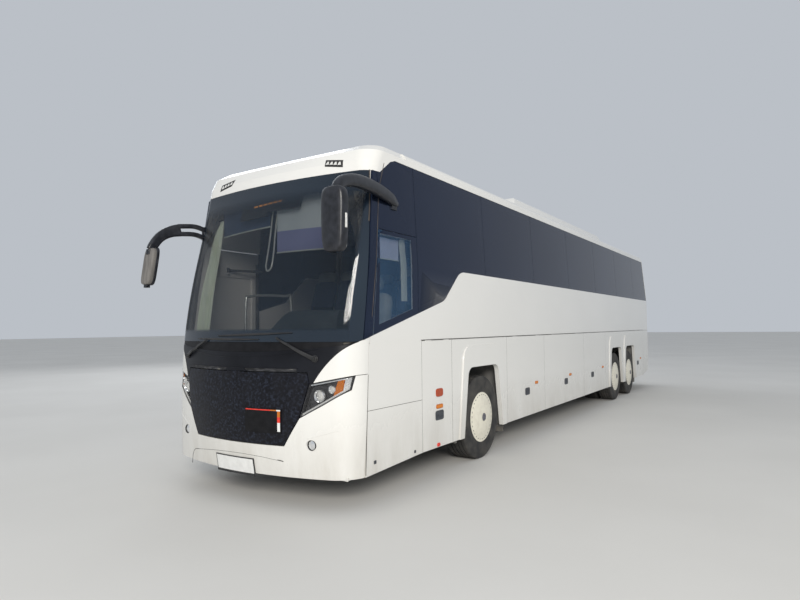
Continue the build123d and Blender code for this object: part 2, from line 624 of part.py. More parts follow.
tail_horn = block(RAIL_X - RAIL_W / 2, RAIL_X + RAIL_W / 2, 10440, REAR_Y + 50, 560, 640)
front_horns = (both(horn) & frame_inside) - front_frame[1]
rear_horns = (both(tail_horn) & tail_low_in) - rear_bumper
save("underframe", rails, front_horns, rear_horns, *members)
save("front_frame", *front_frame)

# Luggage hold: a bulkhead at each end, the floor on the rails and the walls of the middle stairwell
HOLD = (870, 5870)
WELL_IN = -420
WALL_TOP = FLOOR_Z - PLATE
HALF_LINER = LINER / 2
# Columns: right and left end, front and rear end, bottom and top.
HOLD_PLATES = [
    (-LEG_X, LEG_X, HOLD[0], HOLD[0] + LINER, 425, WALL_TOP),
    (-LEG_X, LEG_X, HOLD[1] - LINER, HOLD[1], 425, WALL_TOP),
    (WELL_IN, LEG_X, HOLD[0] + LINER, HOLD[1] - LINER, 425, HOLD_FLOOR_Z),
    (-LEG_X, WELL_IN, HOLD[0] + LINER, WELL[0] - HALF_LINER, 425, HOLD_FLOOR_Z),
    (-LEG_X, WELL_IN, WELL[1] + HALF_LINER, HOLD[1] - LINER, 425, HOLD_FLOOR_Z),
    (-LEG_X, WELL_IN, WELL[0] - HALF_LINER, WELL[0] + HALF_LINER, 425, WALL_TOP),
    (-LEG_X, WELL_IN, WELL[1] - HALF_LINER, WELL[1] + HALF_LINER, 425, WALL_TOP),
    (WELL_IN - LINER, WELL_IN, WELL[0] + HALF_LINER, WELL[1] - HALF_LINER, 425, WALL_TOP),
]
save("luggage_hold", *[block(*plate) for plate in HOLD_PLATES])

# Floors and walls of the front stairs. Columns: right and left end, front and rear end, bottom and top.
FLOOR_END = WALL_REAR - 200
RAIL_OUT = -RAIL_X - RAIL_W / 2
FLOOR_PLATES = [
    (WELL_IN, LEG_X, CAB_BACK, FLOOR_END, WALL_TOP, FLOOR_Z),
    (-LEG_X, WELL_IN, CAB_BACK, WELL[0], WALL_TOP, FLOOR_Z),
    (-LEG_X, WELL_IN, WELL[1], FLOOR_END, WALL_TOP, FLOOR_Z),
    (-LEG_X, STAIR_IN, STAIR_BACK, CAB_BACK, WALL_TOP, FLOOR_Z),
    (STAIR_IN, LEG_X, CAB_BACK - PLATE, CAB_BACK, CAB_FLOOR_Z, FLOOR_Z),
    (-LEG_X, RAIL_OUT, STAIR_BACK, STAIR_BACK + LINER, DOOR_SILL_Z, WALL_TOP),
    (RAIL_OUT, STAIR_IN, STAIR_BACK, STAIR_BACK + LINER, 640, WALL_TOP),
    (STAIR_IN - LINER, STAIR_IN, STAIR_BACK + LINER, CAB_BACK, CAB_FLOOR_Z - PLATE, WALL_TOP),
    (WELL_IN - LINER - 20, WELL_IN, WELL[0] + HALF_LINER, WELL[1] - HALF_LINER, WALL_TOP, FLOOR_Z),
]
floor = [block(*plate) for plate in FLOOR_PLATES]
cab_plan = Polygon((STAIR_IN, CAB_BACK), (LEG_X, CAB_BACK), (LEG_X, -2570), (1000, -2690),
                   (STAIR_IN, -2700), align=None)
floor.append(extrude(Pos(0, 0, CAB_FLOOR_Z - PLATE) * cab_plan, amount=PLATE, dir=(0, 0, 1)))


def flight(x_out, x_in, low, high, count, y0, y1):
    """Steps that rise inwards from the door, each a tread with a riser behind it."""
    run = (x_in - x_out) / count
    rise = (high - low) / count
    steps = []
    for i in range(count):
        x = x_out + i * run
        z = low + i * rise
        steps.append(block(x, x + run, y0, y1, z - PLATE, z))
        steps.append(block(x + run, x + run + 20, y0, y1, z - PLATE, z + rise - PLATE))
    return steps


floor += flight(-POST_X, STAIR_IN, DOOR_SILL_Z + 20, CAB_FLOOR_Z, 3, FRONT_DOOR[0] + 10, STAIR_BACK)
floor += flight(-POST_X, WELL_IN - LINER - 20, DOOR_SILL_Z + 80, FLOOR_Z, 4, WELL[0] + HALF_LINER,
                WELL[1] - HALF_LINER)
save("passenger_floor", *floor)

save("left_side_panel", left_side_panel)
save("right_side_panel", right_side_panel)
roof_strips = [(-HALF, -ROOF_SPLIT), (-ROOF_SPLIT, ROOF_SPLIT), (ROOF_SPLIT, HALF)]
save("roof_shell", *[roof_shell & block(*strip, -3000, REAR_Y, 3000, 4000) for strip in roof_strips])
save("front_cap", front_cap)
save("air_conditioner", air_conditioner)
save("windscreen", windscreen)
save("wiper_panel", wiper_panel)
save("front_corner_panels", front_corner_panels)
save("front_bumper", front_bumper)
save("headlights", headlights)
save("front_lid", front_lid)
save("left_windows", *left_windows)
save("right_windows", *right_windows)
save("lower_side_panels", wheel_arch_panels, skirt_panels)
for i, part in enumerate(flap_left):
    save(f"luggage_flap_left_{i + 1}", part)
for i, part in enumerate(flap_right):
    save(f"luggage_flap_right_{i + 1}", part)
save("service_flap_left", service_flap_left)
save("rear_service_door_left", rear_service_left)
save("rear_service_door_right", rear_service_right)

# Wheelhouses: an arch liner over each opening, closed on its inner side, with mudflaps behind
LINER_Z = SILL_Z - 70
HOUSE_IN = 560
HOUSE_HALF = 690
REAR_HOUSE = 600
HOUSE_OPEN_Z = 860


def wheelhouse(y0, y1, inner):
    """A liner open below and outwards: its outline in side view, with an inner wall."""
    outline = Polygon((y0, 300), (y0 + 110, LINER_Z), (y1 - 110, LINER_Z), (y1, 300), align=None)
    outline = fillet(outline.vertices().sort_by(Axis.Y)[-2:], 120)
    core = offset(outline, amount=-LINER) + Polygon((y0 + LINER, 200), (y1 - LINER, 200), (y1 - LINER - 30, 500),
                                                    (y0 + LINER + 30, 500), align=None)
    cover = along_x(outline, inner, POST_X) - along_x(core, inner + LINER, POST_X + 1)
    return cover - block(inner - 1, inner + LINER + 1, y0 - 1, y1 + 1, 200, HOUSE_OPEN_Z)


front_house = wheelhouse(-HOUSE_HALF, HOUSE_HALF, HOUSE_IN)
rear_house = wheelhouse(WHEELBASE - REAR_HOUSE, TAG_Y + REAR_HOUSE, HOUSE_IN - 10)
MUD_T = 6
mudflap, rear_mudflap = [block(HOUSE_IN + 160, POST_X - 4, y, y + MUD_T, 230, 420)
                         for y in (HOUSE_HALF, TAG_Y + REAR_HOUSE)]
save("wheelhouses", both(front_house), both(rear_house), both(mudflap), both(rear_mudflap))

# Wheels: revolved tyre and rim about the axle line
def ring(profile, x, y):
    """A profile of (distance out from the wheel's centre, radius) turned about the axle line."""
    face = Polygon(*[(x + out, r) for out, r in profile], align=None)
    return Pos(0, y, TYRE_R) * revolve(Plane.XZ * face, axis=Axis.X)


TREAD_HALF = TYRE_W / 2 - 16
RIM_HALF = 118
BARREL_R = BEAD_R - 14


def tyre(x, y):
    side = TYRE_W / 2
    return ring([(-RIM_HALF, BEAD_R), (-side, BEAD_R + 110), (-TREAD_HALF, TYRE_R - 8), (-TREAD_HALF + 20, TYRE_R),
                 (TREAD_HALF - 20, TYRE_R), (TREAD_HALF, TYRE_R - 8), (side, BEAD_R + 110), (RIM_HALF, BEAD_R)], x, y)


# Wheel: a barrel under the tyre, a disc set in towards the hub, a hub and a flat cover outside.
HUB_R = 105
HUB_HALF = 60
COVER_R = 317
COVER_OUT = TYRE_W / 2 - 2


def wheel(x, y, disc_out):
    rim = ring([(-RIM_HALF, BARREL_R), (-RIM_HALF, BEAD_R), (RIM_HALF, BEAD_R), (RIM_HALF, BARREL_R)], x, y)
    rim = rim + ring([(disc_out - 16, SPINDLE_R + CLEAR), (disc_out - 16, BARREL_R + 2), (disc_out, BARREL_R + 2),
                      (disc_out, SPINDLE_R + CLEAR)], x, y)
    rim = rim + ring([(-HUB_HALF, SPINDLE_R + CLEAR), (-HUB_HALF, HUB_R), (HUB_HALF, HUB_R),
                      (HUB_HALF, SPINDLE_R + CLEAR)], x, y)
    return rim + ring([(RIM_HALF - 12, BARREL_R + 1), (RIM_HALF - 12, BEAD_R - 1), (RIM_HALF + 1, BEAD_R - 1),
                       (COVER_OUT - 8, COVER_R - 14), (COVER_OUT, COVER_R - 40), (COVER_OUT, 0),
                       (COVER_OUT - 10, 0), (COVER_OUT - 10, COVER_R - 52)], x, y)


# Where each wheel stands. Columns: name, axle's y, twin tyres, disc's distance out from the tyre's middle.
STATIONS = [
    ("front", 0, False, 60),
    ("drive", WHEELBASE, True, -44),
    ("tag", TAG_Y, False, 60),
]
HUB_IN_X = WHEEL_X - HUB_HALF
for name, y, twin, disc_out in STATIONS:
    tyres = [tyre(WHEEL_X, y)]
    left = wheel(WHEEL_X, y, disc_out)
    if twin:
        inner_x = WHEEL_X - TWIN_SPACING
        tyres.append(tyre(inner_x, y))
        left = left + ring([(-RIM_HALF, BARREL_R), (-RIM_HALF, BEAD_R), (RIM_HALF, BEAD_R), (RIM_HALF, BARREL_R)],
                           inner_x, y)
        left = left + ring([(RIM_HALF, BARREL_R), (RIM_HALF, BEAD_R), (TWIN_SPACING - RIM_HALF, BEAD_R),
                            (TWIN_SPACING - RIM_HALF, BARREL_R)], inner_x, y)
    save(f"tyre_{name}_left", *tyres)
    save(f"tyre_{name}_right", *[mirror(t, Plane.YZ) for t in tyres])
    save(f"wheel_{name}_left", left)
    save(f"wheel_{name}_right", mirror(left, Plane.YZ))


def rod(x0, x1, y, z, radius):
    """A round bar across the vehicle."""
    return Pos((x0 + x1) / 2, y, z) * Rot(0, 90, 0) * Cylinder(radius, abs(x1 - x0))


def post(x, y, z0, z1, radius):
    """A round bar standing up."""
    return Pos(x, y, (z0 + z1) / 2) * Cylinder(radius, z1 - z0)


def bar(start, end, radius):
    """A round bar between two points."""
    return extrude(Plane(origin=start, z_dir=end - start) * Circle(radius), amount=(end - start).length)


# Front axle: a dropped I-beam between the two kingpin eyes, with air springs up to the rails
EYE_R = 55
EYE_HALF = 60
BEAM_DROP = 130
BEAM_H = 110
beam_path = [(KINGPIN_X, TYRE_R - BEAM_H / 2 + 20), (KINGPIN_X - 110, TYRE_R - BEAM_H / 2),
             (KINGPIN_X - 260, TYRE_R - BEAM_DROP - BEAM_H / 2), (0, TYRE_R - BEAM_DROP - BEAM_H / 2)]
beam_low = beam_path + [flip(p) for p in reversed(beam_path[:-1])]
beam_face = Polygon(*beam_low, *[(x, z + BEAM_H - (40 if abs(x) == KINGPIN_X else 0)) for x, z in reversed(beam_low)],
                    align=None)
beam_web = along_y(beam_face, -45, 45)
beam_side = along_y(offset(beam_face, amount=-22), 12, 46)
front_beam = beam_web - beam_side - mirror(beam_side, Plane.XZ)
eye = post(KINGPIN_X, 0, TYRE_R - EYE_HALF, TYRE_R + EYE_HALF, EYE_R)
pin_hole = post(KINGPIN_X, 0, TYRE_R - 200, TYRE_R + 200, KINGPIN_R + CLEAR)
front_beam = (front_beam + both(eye)) - both(pin_hole)
SPRING_R = 115
SPRING_TOP = 700
spring_seat = block(RAIL_X - 100, RAIL_X + 100, -80, 80, TYRE_R - BEAM_DROP + BEAM_H / 2,
                    TYRE_R - BEAM_DROP + BEAM_H / 2 + 30)


def air_spring(x, y, z0, z1):
    """A rolling-lobe air spring: piston, bellows with a waist, top plate."""
    mid = (z0 + z1) / 2
    face = Polygon((0, z0), (SPRING_R - 30, z0), (SPRING_R - 40, mid - 30), (SPRING_R, mid), (SPRING_R, z1 - 20),
                   (SPRING_R - 15, z1), (0, z1), align=None)
    return Pos(x, y, 0) * revolve(Plane.XZ * face, axis=Axis.Z)


front_springs = both(air_spring(RAIL_X, 0, TYRE_R - BEAM_DROP + BEAM_H / 2 + 30, SPRING_TOP))
save("front_axle", front_beam + both(spring_seat), front_springs)

# Knuckle: a fork over the kingpin eye, the pin, the spindle and a steering arm to the track rod
FORK_GAP = 5
FORK_T = 38
ARM_EYE = (KINGPIN_X, 265)
ARM_Z = TYRE_R - EYE_HALF - FORK_GAP - FORK_T
FORK_OUT = KINGPIN_X + EYE_R + 8
knuckle = Part()
for way in (-1, 1):
    z0 = TYRE_R + way * (EYE_HALF + FORK_GAP)
    z1 = z0 + way * FORK_T
    knuckle = knuckle + post(KINGPIN_X, 0, min(z0, z1), max(z0, z1), EYE_R - 3)
    knuckle = knuckle + block(KINGPIN_X, FORK_OUT + 25, -EYE_R + 3, EYE_R - 3, min(z0, z1), max(z0, z1))
knuckle = knuckle + block(FORK_OUT, FORK_OUT + 25, -EYE_R - 20, EYE_R + 20, ARM_Z, 2 * TYRE_R - ARM_Z)
knuckle = knuckle + post(KINGPIN_X, 0, ARM_Z, 2 * TYRE_R - ARM_Z, KINGPIN_R)
knuckle = knuckle + rod(FORK_OUT + 20, WHEEL_X + 35, 0, TYRE_R, SPINDLE_R)
arm_bar = Polygon((KINGPIN_X - 45, 20), (KINGPIN_X + 25, 20), (ARM_EYE[0] + 28, ARM_EYE[1]),
                  (ARM_EYE[0] - 28, ARM_EYE[1]), align=None)
BALL_R = 14
knuckle = knuckle + extrude(Pos(0, 0, ARM_Z) * arm_bar, amount=24, dir=(0, 0, 1))
knuckle = knuckle + post(*ARM_EYE, ARM_Z, ARM_Z + 24, 28)
ball_pin = post(*ARM_EYE, ARM_Z - 50, ARM_Z + 5, BALL_R)
knuckle = knuckle + ball_pin
save("knuckle_left", knuckle)
save("knuckle_right", mirror(knuckle, Plane.YZ))

# Track rod between the two steering arms, an eye on each ball pin
ROD_Z = ARM_Z - 28
track_rod = rod(-ARM_EYE[0] + 20, ARM_EYE[0] - 20, ARM_EYE[1], ROD_Z, 17)
rod_eye = post(*ARM_EYE, ROD_Z - 20, ROD_Z + 20, 30)
rod_bore = post(*ARM_EYE, ROD_Z - 60, ROD_Z + 60, BALL_R + CLEAR)
track_rod = track_rod + both(rod_eye) - both(rod_bore)
save("track_rod", track_rod)


# Rear axles: a beam with a spindle at each end, carried by air springs under the rails
def rear_axle(y, tube_r, centre_r, spindle_in):
    axle = both(rod(0, spindle_in, y, TYRE_R, tube_r))
    axle = axle + both(rod(spindle_in - 10, WHEEL_X + 35, y, TYRE_R, SPINDLE_R))
    if centre_r:
        axle = axle + ring([(-centre_r, 0), (-centre_r, 90), (-0.4 * centre_r, centre_r),
                            (0.4 * centre_r, centre_r), (centre_r, 90), (centre_r, 0)], 0, y)
    seat = block(RAIL_X - 60, RAIL_X + 60, y - 60, y + 60, TYRE_R - 20, TYRE_R + 60 + tube_r - 50)
    return axle + both(seat)


DRIVE_IN = WHEEL_X - TWIN_SPACING - RIM_HALF - 20
drive_axle = rear_axle(WHEELBASE, 75, 195, HUB_IN_X - 10)
tag_axle = rear_axle(TAG_Y, 60, 0, HUB_IN_X - 10)
for node, y, beam, tube_r in (("drive_axle", WHEELBASE, drive_axle, 75), ("tag_axle", TAG_Y, tag_axle, 60)):
    springs = both(air_spring(RAIL_X, y, TYRE_R + 10 + tube_r, SPRING_TOP))
    save(node, beam, springs)

# Engine as one block between the rails, behind the tag axle
ENGINE = (9020, 10330)
engine_side = Polygon((ENGINE[0], 560), (ENGINE[0] + 120, 480), (ENGINE[1] - 200, 480), (ENGINE[1], 620),
                      (ENGINE[1], 1250), (ENGINE[0] + 200, 1300), (ENGINE[0], 1150), align=None)
save("engine", along_x(engine_side, -RAIL_X + RAIL_W / 2, RAIL_X - RAIL_W / 2))


# Doors that swing out and back, parallel to the side, on a cranked arm
def door_leaf(outline, hole):
    """A door leaf along the body side, with its pane, on the vehicle's left before mirroring."""
    section = side_line(0, DOOR_SILL_Z) + side_line(FLAP, DOOR_SILL_Z)[::-1]
    leaf = along_y(section, MASK_SEAM[0][0] - 100, MID_DOOR[1] + 100) & along_x(outline, 1000, 1400)
    pane_section = side_line(GLASS_INSET, DOOR_SILL_Z) + side_line(GLASS_INSET + 12, DOOR_SILL_Z)[::-1]
    leaf = leaf - along_x(hole, 1000, 1400)
    glass = along_y(pane_section, MASK_SEAM[0][0] - 100, MID_DOOR[1] + 100) & along_x(hole, 1000, 1400)
    return leaf, glass


def arm_reach(span, reach_out):
    """Distance from the post to the leaf's pin, along the vehicle, before and after the swing."""
    closed = sqrt(span * span - ARM_IN * ARM_IN)
    opened = sqrt(span * span - reach_out * reach_out)
    return closed, opened


PIVOT_X = HALF - 100
PIN_X = HALF - 75
ARM_IN = PIN_X - PIVOT_X
OUT_X = DOOR_OUT + ARM_IN


def swing_arm(pivot_y, span, low, high, heights):
    """Post with two cranked arms, drawn closed, on the left before mirroring."""
    closed, opened = arm_reach(span, OUT_X)
    pin = Vector(PIN_X, pivot_y - closed)
    open_turn = atan2(opened, OUT_X)
    shut_turn = atan2(-closed, ARM_IN)
    turn = open_turn - shut_turn
    knee_open = (145, 0)
    knee = (PIVOT_X + knee_open[0] * cos(-turn) - knee_open[1] * sin(-turn),
            pivot_y + knee_open[0] * sin(-turn) + knee_open[1] * cos(-turn))
    arm = post(PIVOT_X, pivot_y, low, high, POST_R)
    for z in heights:
        arm = arm + bar(Vector(PIVOT_X, pivot_y, z), Vector(*knee, z), ARM_R)
        arm = arm + bar(Vector(*knee, z), Vector(pin.X, pin.Y, z), ARM_R)
        arm = arm + Pos(knee[0], knee[1], z) * Sphere(ARM_R)
        arm = arm + post(pin.X, pin.Y, z - 25, z + 25, 20)
    bore = post(pin.X, pin.Y, low, high, 10 + CLEAR)
    return arm - bore, pin, turn


front_hole = fillet(Polygon((-2350, 1330), (-1600, 1330), (-1600, 2320), (-2270, 2320),
                            align=None).vertices(), 40)
door_edge = [(y + SEAM / 2 + 1, z) for y, z in LEAF_EDGE]
sill_edge = (door_edge[0][0] + 7, DOOR_SILL_Z)
front_outline = Polygon(sill_edge, *door_edge[1:], (FRONT_DOOR[1], FRONT_DOOR_TOP_Z), (FRONT_DOOR[1], DOOR_SILL_Z),
                        align=None)
mid_hole = fillet(Polygon((MID_DOOR[0] + 90, 1480), (MID_DOOR[1] - 90, 1480), (MID_DOOR[1] - 90, 2080),
                          (MID_DOOR[0] + 90, 2080), align=None).vertices(), 40)
mid_outline = Polygon((MID_DOOR[0], DOOR_SILL_Z), (MID_DOOR[1], DOOR_SILL_Z), (MID_DOOR[1], MID_DOOR_TOP_Z),
                      (MID_DOOR[0], MID_DOOR_TOP_Z), align=None)
# Columns: node, outline, window, post's y, arm's span, post's foot and head, arm heights
DOORS = [
    ("front_door", front_outline, front_hole, FRONT_DOOR[1] - 60, 450, DOOR_SILL_Z + 20, 2500, (1180, 2400)),
    ("middle_door", mid_outline, mid_hole, MID_DOOR[1] - 65, 410, DOOR_SILL_Z + 80, 2250, (1180, 2180)),
]
for node, outline, hole, pivot_y, span, low, high, heights in DOORS:
    leaf, glass = door_leaf(outline, hole)
    arm, pin, turn = swing_arm(pivot_y, span, low, high, heights)
    for z in heights:
        leaf = leaf + post(pin.X, pin.Y, z - 45, z + 45, 10)
        for ear in (z - 38, z + 38):
            leaf = leaf + block(PIN_X - 16, HALF - FLAP + 5, pin.Y - 16, pin.Y + 16, ear - 7, ear + 7)
    save(node, mirror(leaf, Plane.YZ), mirror(glass, Plane.YZ))
    save(f"{node}_arm", mirror(arm, Plane.YZ))
    print(node, "post", -PIVOT_X, pivot_y - MID_Y, "pin", -pin.X, pin.Y - MID_Y, "turn", turn * 180 / pi)

# Mirrors on arms. Columns: side, root, over the pillar, bend, head's y and z, head's width, depth and height.
HEAD_OUT = HALF + 254
ARM_HALF = (28, 46)
MIRRORS = [
    (1, (half_at(2955) - 30, -1990, 2955), (1310, -2365, 3040), (1385, -2890, 2975), -3102.5, 2592, 250, 95, 560),
    (-1, (half_at(2820) - 30, -2270, 2820), (1310, -2440, 2860), (1420, -2790, 2830), -2945, 2390, 200, 90, 440),
]
mirrors = []
for side, root, over, bend, head_y, head_z, head_w, head_d, head_h in MIRRORS:
    head_x = HEAD_OUT - head_w / 2
    path = FilletPolyline(root, over, bend, (head_x, head_y, head_z + head_h / 2 - 60), radius=60)
    arm_face = Plane(origin=path @ 0, z_dir=path % 0, x_dir=(0, 0, 1)) * Ellipse(ARM_HALF[1], ARM_HALF[0])
    arm = sweep(arm_face, path=path)
    head = Pos(head_x, head_y, head_z) * Box(head_w, head_d, head_h)
    head = fillet(head.edges(), 32)
    foot = block(half_at(root[2]) - 20, half_at(root[2]) + 30, root[1] - 60, root[1] + 60,
                 root[2] - 60, root[2] + 60)
    inside = side_line(GLASS_INSET - 0.3, 1500) + [(0, GLASS_TOP_Z), (0, 1500)]
    whole = arm + head + foot - along_y(inside, -2400, -1800)
    mirrors.append(whole if side > 0 else mirror(whole, Plane.YZ))
save("mirrors", *mirrors)

# Wipers lie on the screen: front-view outlines (x, z) of the arm and the blade, and the pivot
WIPER_OFF = 0.5
WIPER_T = 24
PIVOT = (912, 1394)
wiper_zone = nose(-WIPER_OFF - WIPER_T) - nose(-WIPER_OFF)
arm_outline = Polygon((PIVOT[0] + 12, PIVOT[1] + 22), (PIVOT[0] - 12, PIVOT[1] - 22), (500, 1580), (505, 1612),
                      align=None)
# Columns: side, blade's low end, blade's high end
BLADES = [(1, (-306, 1604), (666, 1632)), (-1, (-300, 1566), (690, 1572))]
wipers = []
for side, low, high in BLADES:
    blade = Polygon((low[0], low[1] - 8), (high[0], high[1] - 8), (high[0], high[1] + 8), (low[0], low[1] + 8),
                    align=None)
    reach = arm_outline if side > 0 else Polygon((PIVOT[0] + 12, PIVOT[1] + 22), (PIVOT[0] - 12, PIVOT[1] - 22),
                                                 (500, 1555), (505, 1580), align=None)
    wiper = wiper_zone & along_y(blade + reach + Pos(*PIVOT) * Circle(34), -3200, -2500)
    wipers.append(wiper if side > 0 else mirror(wiper, Plane.YZ))
save("wipers", *wipers)

# Dashboard under the screen, with the steering column and wheel
dash_side = fillet(Polygon((-2900, CAB_FLOOR_Z), (-2440, CAB_FLOOR_Z), (-2440, 1250), (-2300, 1400), (-2360, 1535),
                           (-2900, 1535), align=None).vertices().sort_by(Axis.Y)[-3:-1], 20)
shelf_side = Polygon((-2900, 1380), (-2580, 1380), (-2520, 1430), (-2540, 1535), (-2900, 1535), align=None)
dash = (along_x(dash_side, STAIR_IN + 20, LEG_X - 20) + along_x(shelf_side, -LEG_X + 20, STAIR_IN + 21)) & frame_inside
COLUMN = (620, -2330, 1440)
WHEEL_AT = (620, -2150, 1700)
STEER_R = 225
tilt = Plane(origin=WHEEL_AT, z_dir=Vector(*WHEEL_AT) - Vector(*COLUMN))
steer = tilt * (Torus(STEER_R, 15) + Pos(0, 0, -20) * Cylinder(55, 40) + Box(2 * STEER_R, 34, 14)
                + Pos(0, -STEER_R / 2, 0) * Box(34, STEER_R, 14))
column = bar(Vector(*COLUMN), Vector(*WHEEL_AT), 38)
save("dashboard", dash + column + steer)

# Driver's seat. Columns: side view (y, z), right and left edge.
DRIVER_SEAT = [
    ([(-1860, CAB_FLOOR_Z), (-1520, CAB_FLOOR_Z), (-1520, 1370), (-1860, 1370)], 470, 790),
    ([(-2020, 1400), (-1860, 1370), (-1520, 1370), (-1560, 1510), (-1990, 1530)], 400, 860),
    ([(-1520, 1370), (-1440, 1400), (-1400, 2080), (-1520, 2060), (-1560, 1510)], 400, 860),
    ([(-1520, 2060), (-1400, 2080), (-1410, 2280), (-1490, 2280)], 520, 740),
]
driver_seat = [along_x(side, x0, x1) for side, x0, x1 in DRIVER_SEAT]

# Passenger seats: double benches in rows on both sides of the aisle
ROW_PITCH = 790
ROW_FIRST = -1000
ROW_LAST = 9500
BENCH = (310, 1150)
rows = [ROW_FIRST + i * ROW_PITCH for i in range(int((ROW_LAST - ROW_FIRST) / ROW_PITCH) + 1)]


def bench(y):
    """A double seat: pedestal, cushion and two reclined backrests."""
    low, top = FLOOR_Z + 330, FLOOR_Z + 450
    middle = (BENCH[0] + BENCH[1]) / 2
    cushion = [(y, low), (y + 440, low), (y + 390, top), (y, top)]
    back = [(y + 440, low), (y + 640, FLOOR_Z + 1060), (y + 560, FLOOR_Z + 1085), (y + 390, top)]
    return (block(middle - 150, middle + 150, y + 120, y + 320, FLOOR_Z, low), along_x(cushion, *BENCH),
            along_x(back, BENCH[0], middle - 12), along_x(back, middle + 12, BENCH[1]))


benches = []
for y in rows:
    benches += bench(y)
    if y + 660 < WELL[0] - 20 or y > WELL[1] + 20:
        benches += [mirror(piece, Plane.YZ) for piece in bench(y)]
save("seats", *driver_seat, *benches)

# Luggage racks over the seats, hung from the window pillars
RACK_Z = (2960, 3060)
RACK_BACK = (half_at(RACK_Z[0]) - SIDE_WALL, half_at(RACK_Z[1]) - SIDE_WALL)
RACK_PARTS = [
    [(700, 3010), (730, RACK_Z[0]), (745, RACK_Z[0] + 20), (720, 3060), (690, 3055)],
    [(730, RACK_Z[0]), (RACK_BACK[0], RACK_Z[0]), (RACK_BACK[0] - 40, RACK_Z[0] + 20), (745, RACK_Z[0] + 20)],
    [(RACK_BACK[0], RACK_Z[0]), (RACK_BACK[1], RACK_Z[1]), (RACK_BACK[1] - 30, RACK_Z[1]),
     (RACK_BACK[0] - 40, RACK_Z[0] + 20)],
]
racks = [along_y(face, -1200, 10000) for face in RACK_PARTS]
save("luggage_racks", *racks, *[mirror(rack, Plane.YZ) for rack in racks])
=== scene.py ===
import bpy, bmesh
from math import sin, cos, pi, sqrt, radians
from mathutils import Vector, Matrix
from mathutils.bvhtree import BVHTree


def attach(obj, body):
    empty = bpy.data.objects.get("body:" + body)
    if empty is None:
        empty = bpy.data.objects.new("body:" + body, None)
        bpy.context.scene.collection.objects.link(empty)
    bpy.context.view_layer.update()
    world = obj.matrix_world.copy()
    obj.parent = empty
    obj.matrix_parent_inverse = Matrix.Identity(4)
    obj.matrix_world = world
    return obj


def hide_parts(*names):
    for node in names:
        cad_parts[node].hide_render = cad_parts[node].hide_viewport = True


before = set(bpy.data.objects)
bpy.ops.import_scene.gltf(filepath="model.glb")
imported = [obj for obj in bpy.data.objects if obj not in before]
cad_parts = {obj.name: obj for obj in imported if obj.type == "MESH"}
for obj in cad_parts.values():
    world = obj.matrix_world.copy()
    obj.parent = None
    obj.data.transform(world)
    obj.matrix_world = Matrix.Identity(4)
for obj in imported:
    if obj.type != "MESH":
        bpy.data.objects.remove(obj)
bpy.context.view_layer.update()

scene = bpy.context.scene
scene.view_settings.view_transform = "Standard"

# The yard is a plain pale floor without edges, under a soft even sky. The floor keeps the coach's shadow.
YARD_SIZE = 260.0
SKY_COLOUR = (0.80, 0.85, 0.92, 1)
SKY_STRENGTH = 0.62


def new_finish(name):
    """A material with its Principled shader and node tree, ready for the finish's own nodes."""
    finish = bpy.data.materials.new(name)
    finish.use_nodes = True
    tree = finish.node_tree
    return finish, tree, tree.nodes["Principled BSDF"]


def grain(tree, scale, detail=3.0, stretch=(1, 1, 1), rough=0.5):
    """Noise read from Object coordinates, in lumps per metre, with its own stretch along each axis."""
    where = tree.nodes.new("ShaderNodeTexCoord")
    turn = tree.nodes.new("ShaderNodeMapping")
    turn.inputs["Scale"].default_value = stretch
    noise = tree.nodes.new("ShaderNodeTexNoise")
    noise.inputs["Scale"].default_value = scale
    noise.inputs["Detail"].default_value = detail
    noise.inputs["Roughness"].default_value = rough
    tree.links.new(where.outputs["Object"], turn.inputs["Vector"])
    tree.links.new(turn.outputs["Vector"], noise.inputs["Vector"])
    return noise.outputs["Fac"]


def ramp(tree, value, stops):
    """A colour ramp on a value: stops are (place, colour)."""
    node = tree.nodes.new("ShaderNodeValToRGB")
    band = node.color_ramp
    while len(band.elements) < len(stops):
        band.elements.new(0.5)
    for element, (place, colour) in zip(band.elements, stops):
        element.position = place
        element.color = colour if len(colour) == 4 else (*colour, 1)
    tree.links.new(value, node.inputs["Fac"])
    return node.outputs["Color"]


def mottled_finish(name, lumps, detail, rough, stops, stretch=(1, 1, 1)):
    """A finish whose colour wanders between the stops, in so many lumps per metre."""
    finish, tree, shader = new_finish(name)
    tree.links.new(ramp(tree, grain(tree, lumps, detail, stretch), stops), shader.inputs["Base Color"])
    shader.inputs["Roughness"].default_value = rough
    return finish, tree, shader


yard_finish, tree, shader = mottled_finish("pale_yard", 0.35, 6.0, 0.9,
                                           [(0.3, (0.68, 0.665, 0.63)), (0.7, (0.73, 0.715, 0.68))])
bpy.ops.mesh.primitive_plane_add(size=YARD_SIZE)
yard = bpy.context.object
yard.name = "yard_floor"
yard.data.materials.append(yard_finish)

world = bpy.data.worlds.new("soft_sky")
scene.world = world
world.use_nodes = True
sky = world.node_tree.nodes["Background"]
sky.inputs["Color"].default_value = SKY_COLOUR
sky.inputs["Strength"].default_value = SKY_STRENGTH

# Soft lamps: a wide one behind the camera, where the photo's low sun stands, and a weak one from the far
# side, which lifts the shadows.
# Columns: name, place, what it faces, width, height, watts, colour.
for name, place, target, width, height, watts, colour in [
        ("low_sun", (14.0, -22.0, 9.5), (0, -2.0, 1.6), 9.0, 6.0, 3900, (1.0, 0.965, 0.91)),
        ("far_fill", (-16.0, 6.0, 12.0), (0, 0, 1.6), 12.0, 8.0, 800, (0.93, 0.96, 1.0))]:
    lamp = bpy.data.lights.new(name, "AREA")
    lamp.shape = "RECTANGLE"
    lamp.size = width
    lamp.size_y = height
    lamp.energy = watts
    lamp.color = colour
    lamp_object = bpy.data.objects.new(name, lamp)
    scene.collection.objects.link(lamp_object)
    lamp_object.location = place
    lamp_object.rotation_euler = (Vector(target) - Vector(place)).to_track_quat("-Z", "Y").to_euler()

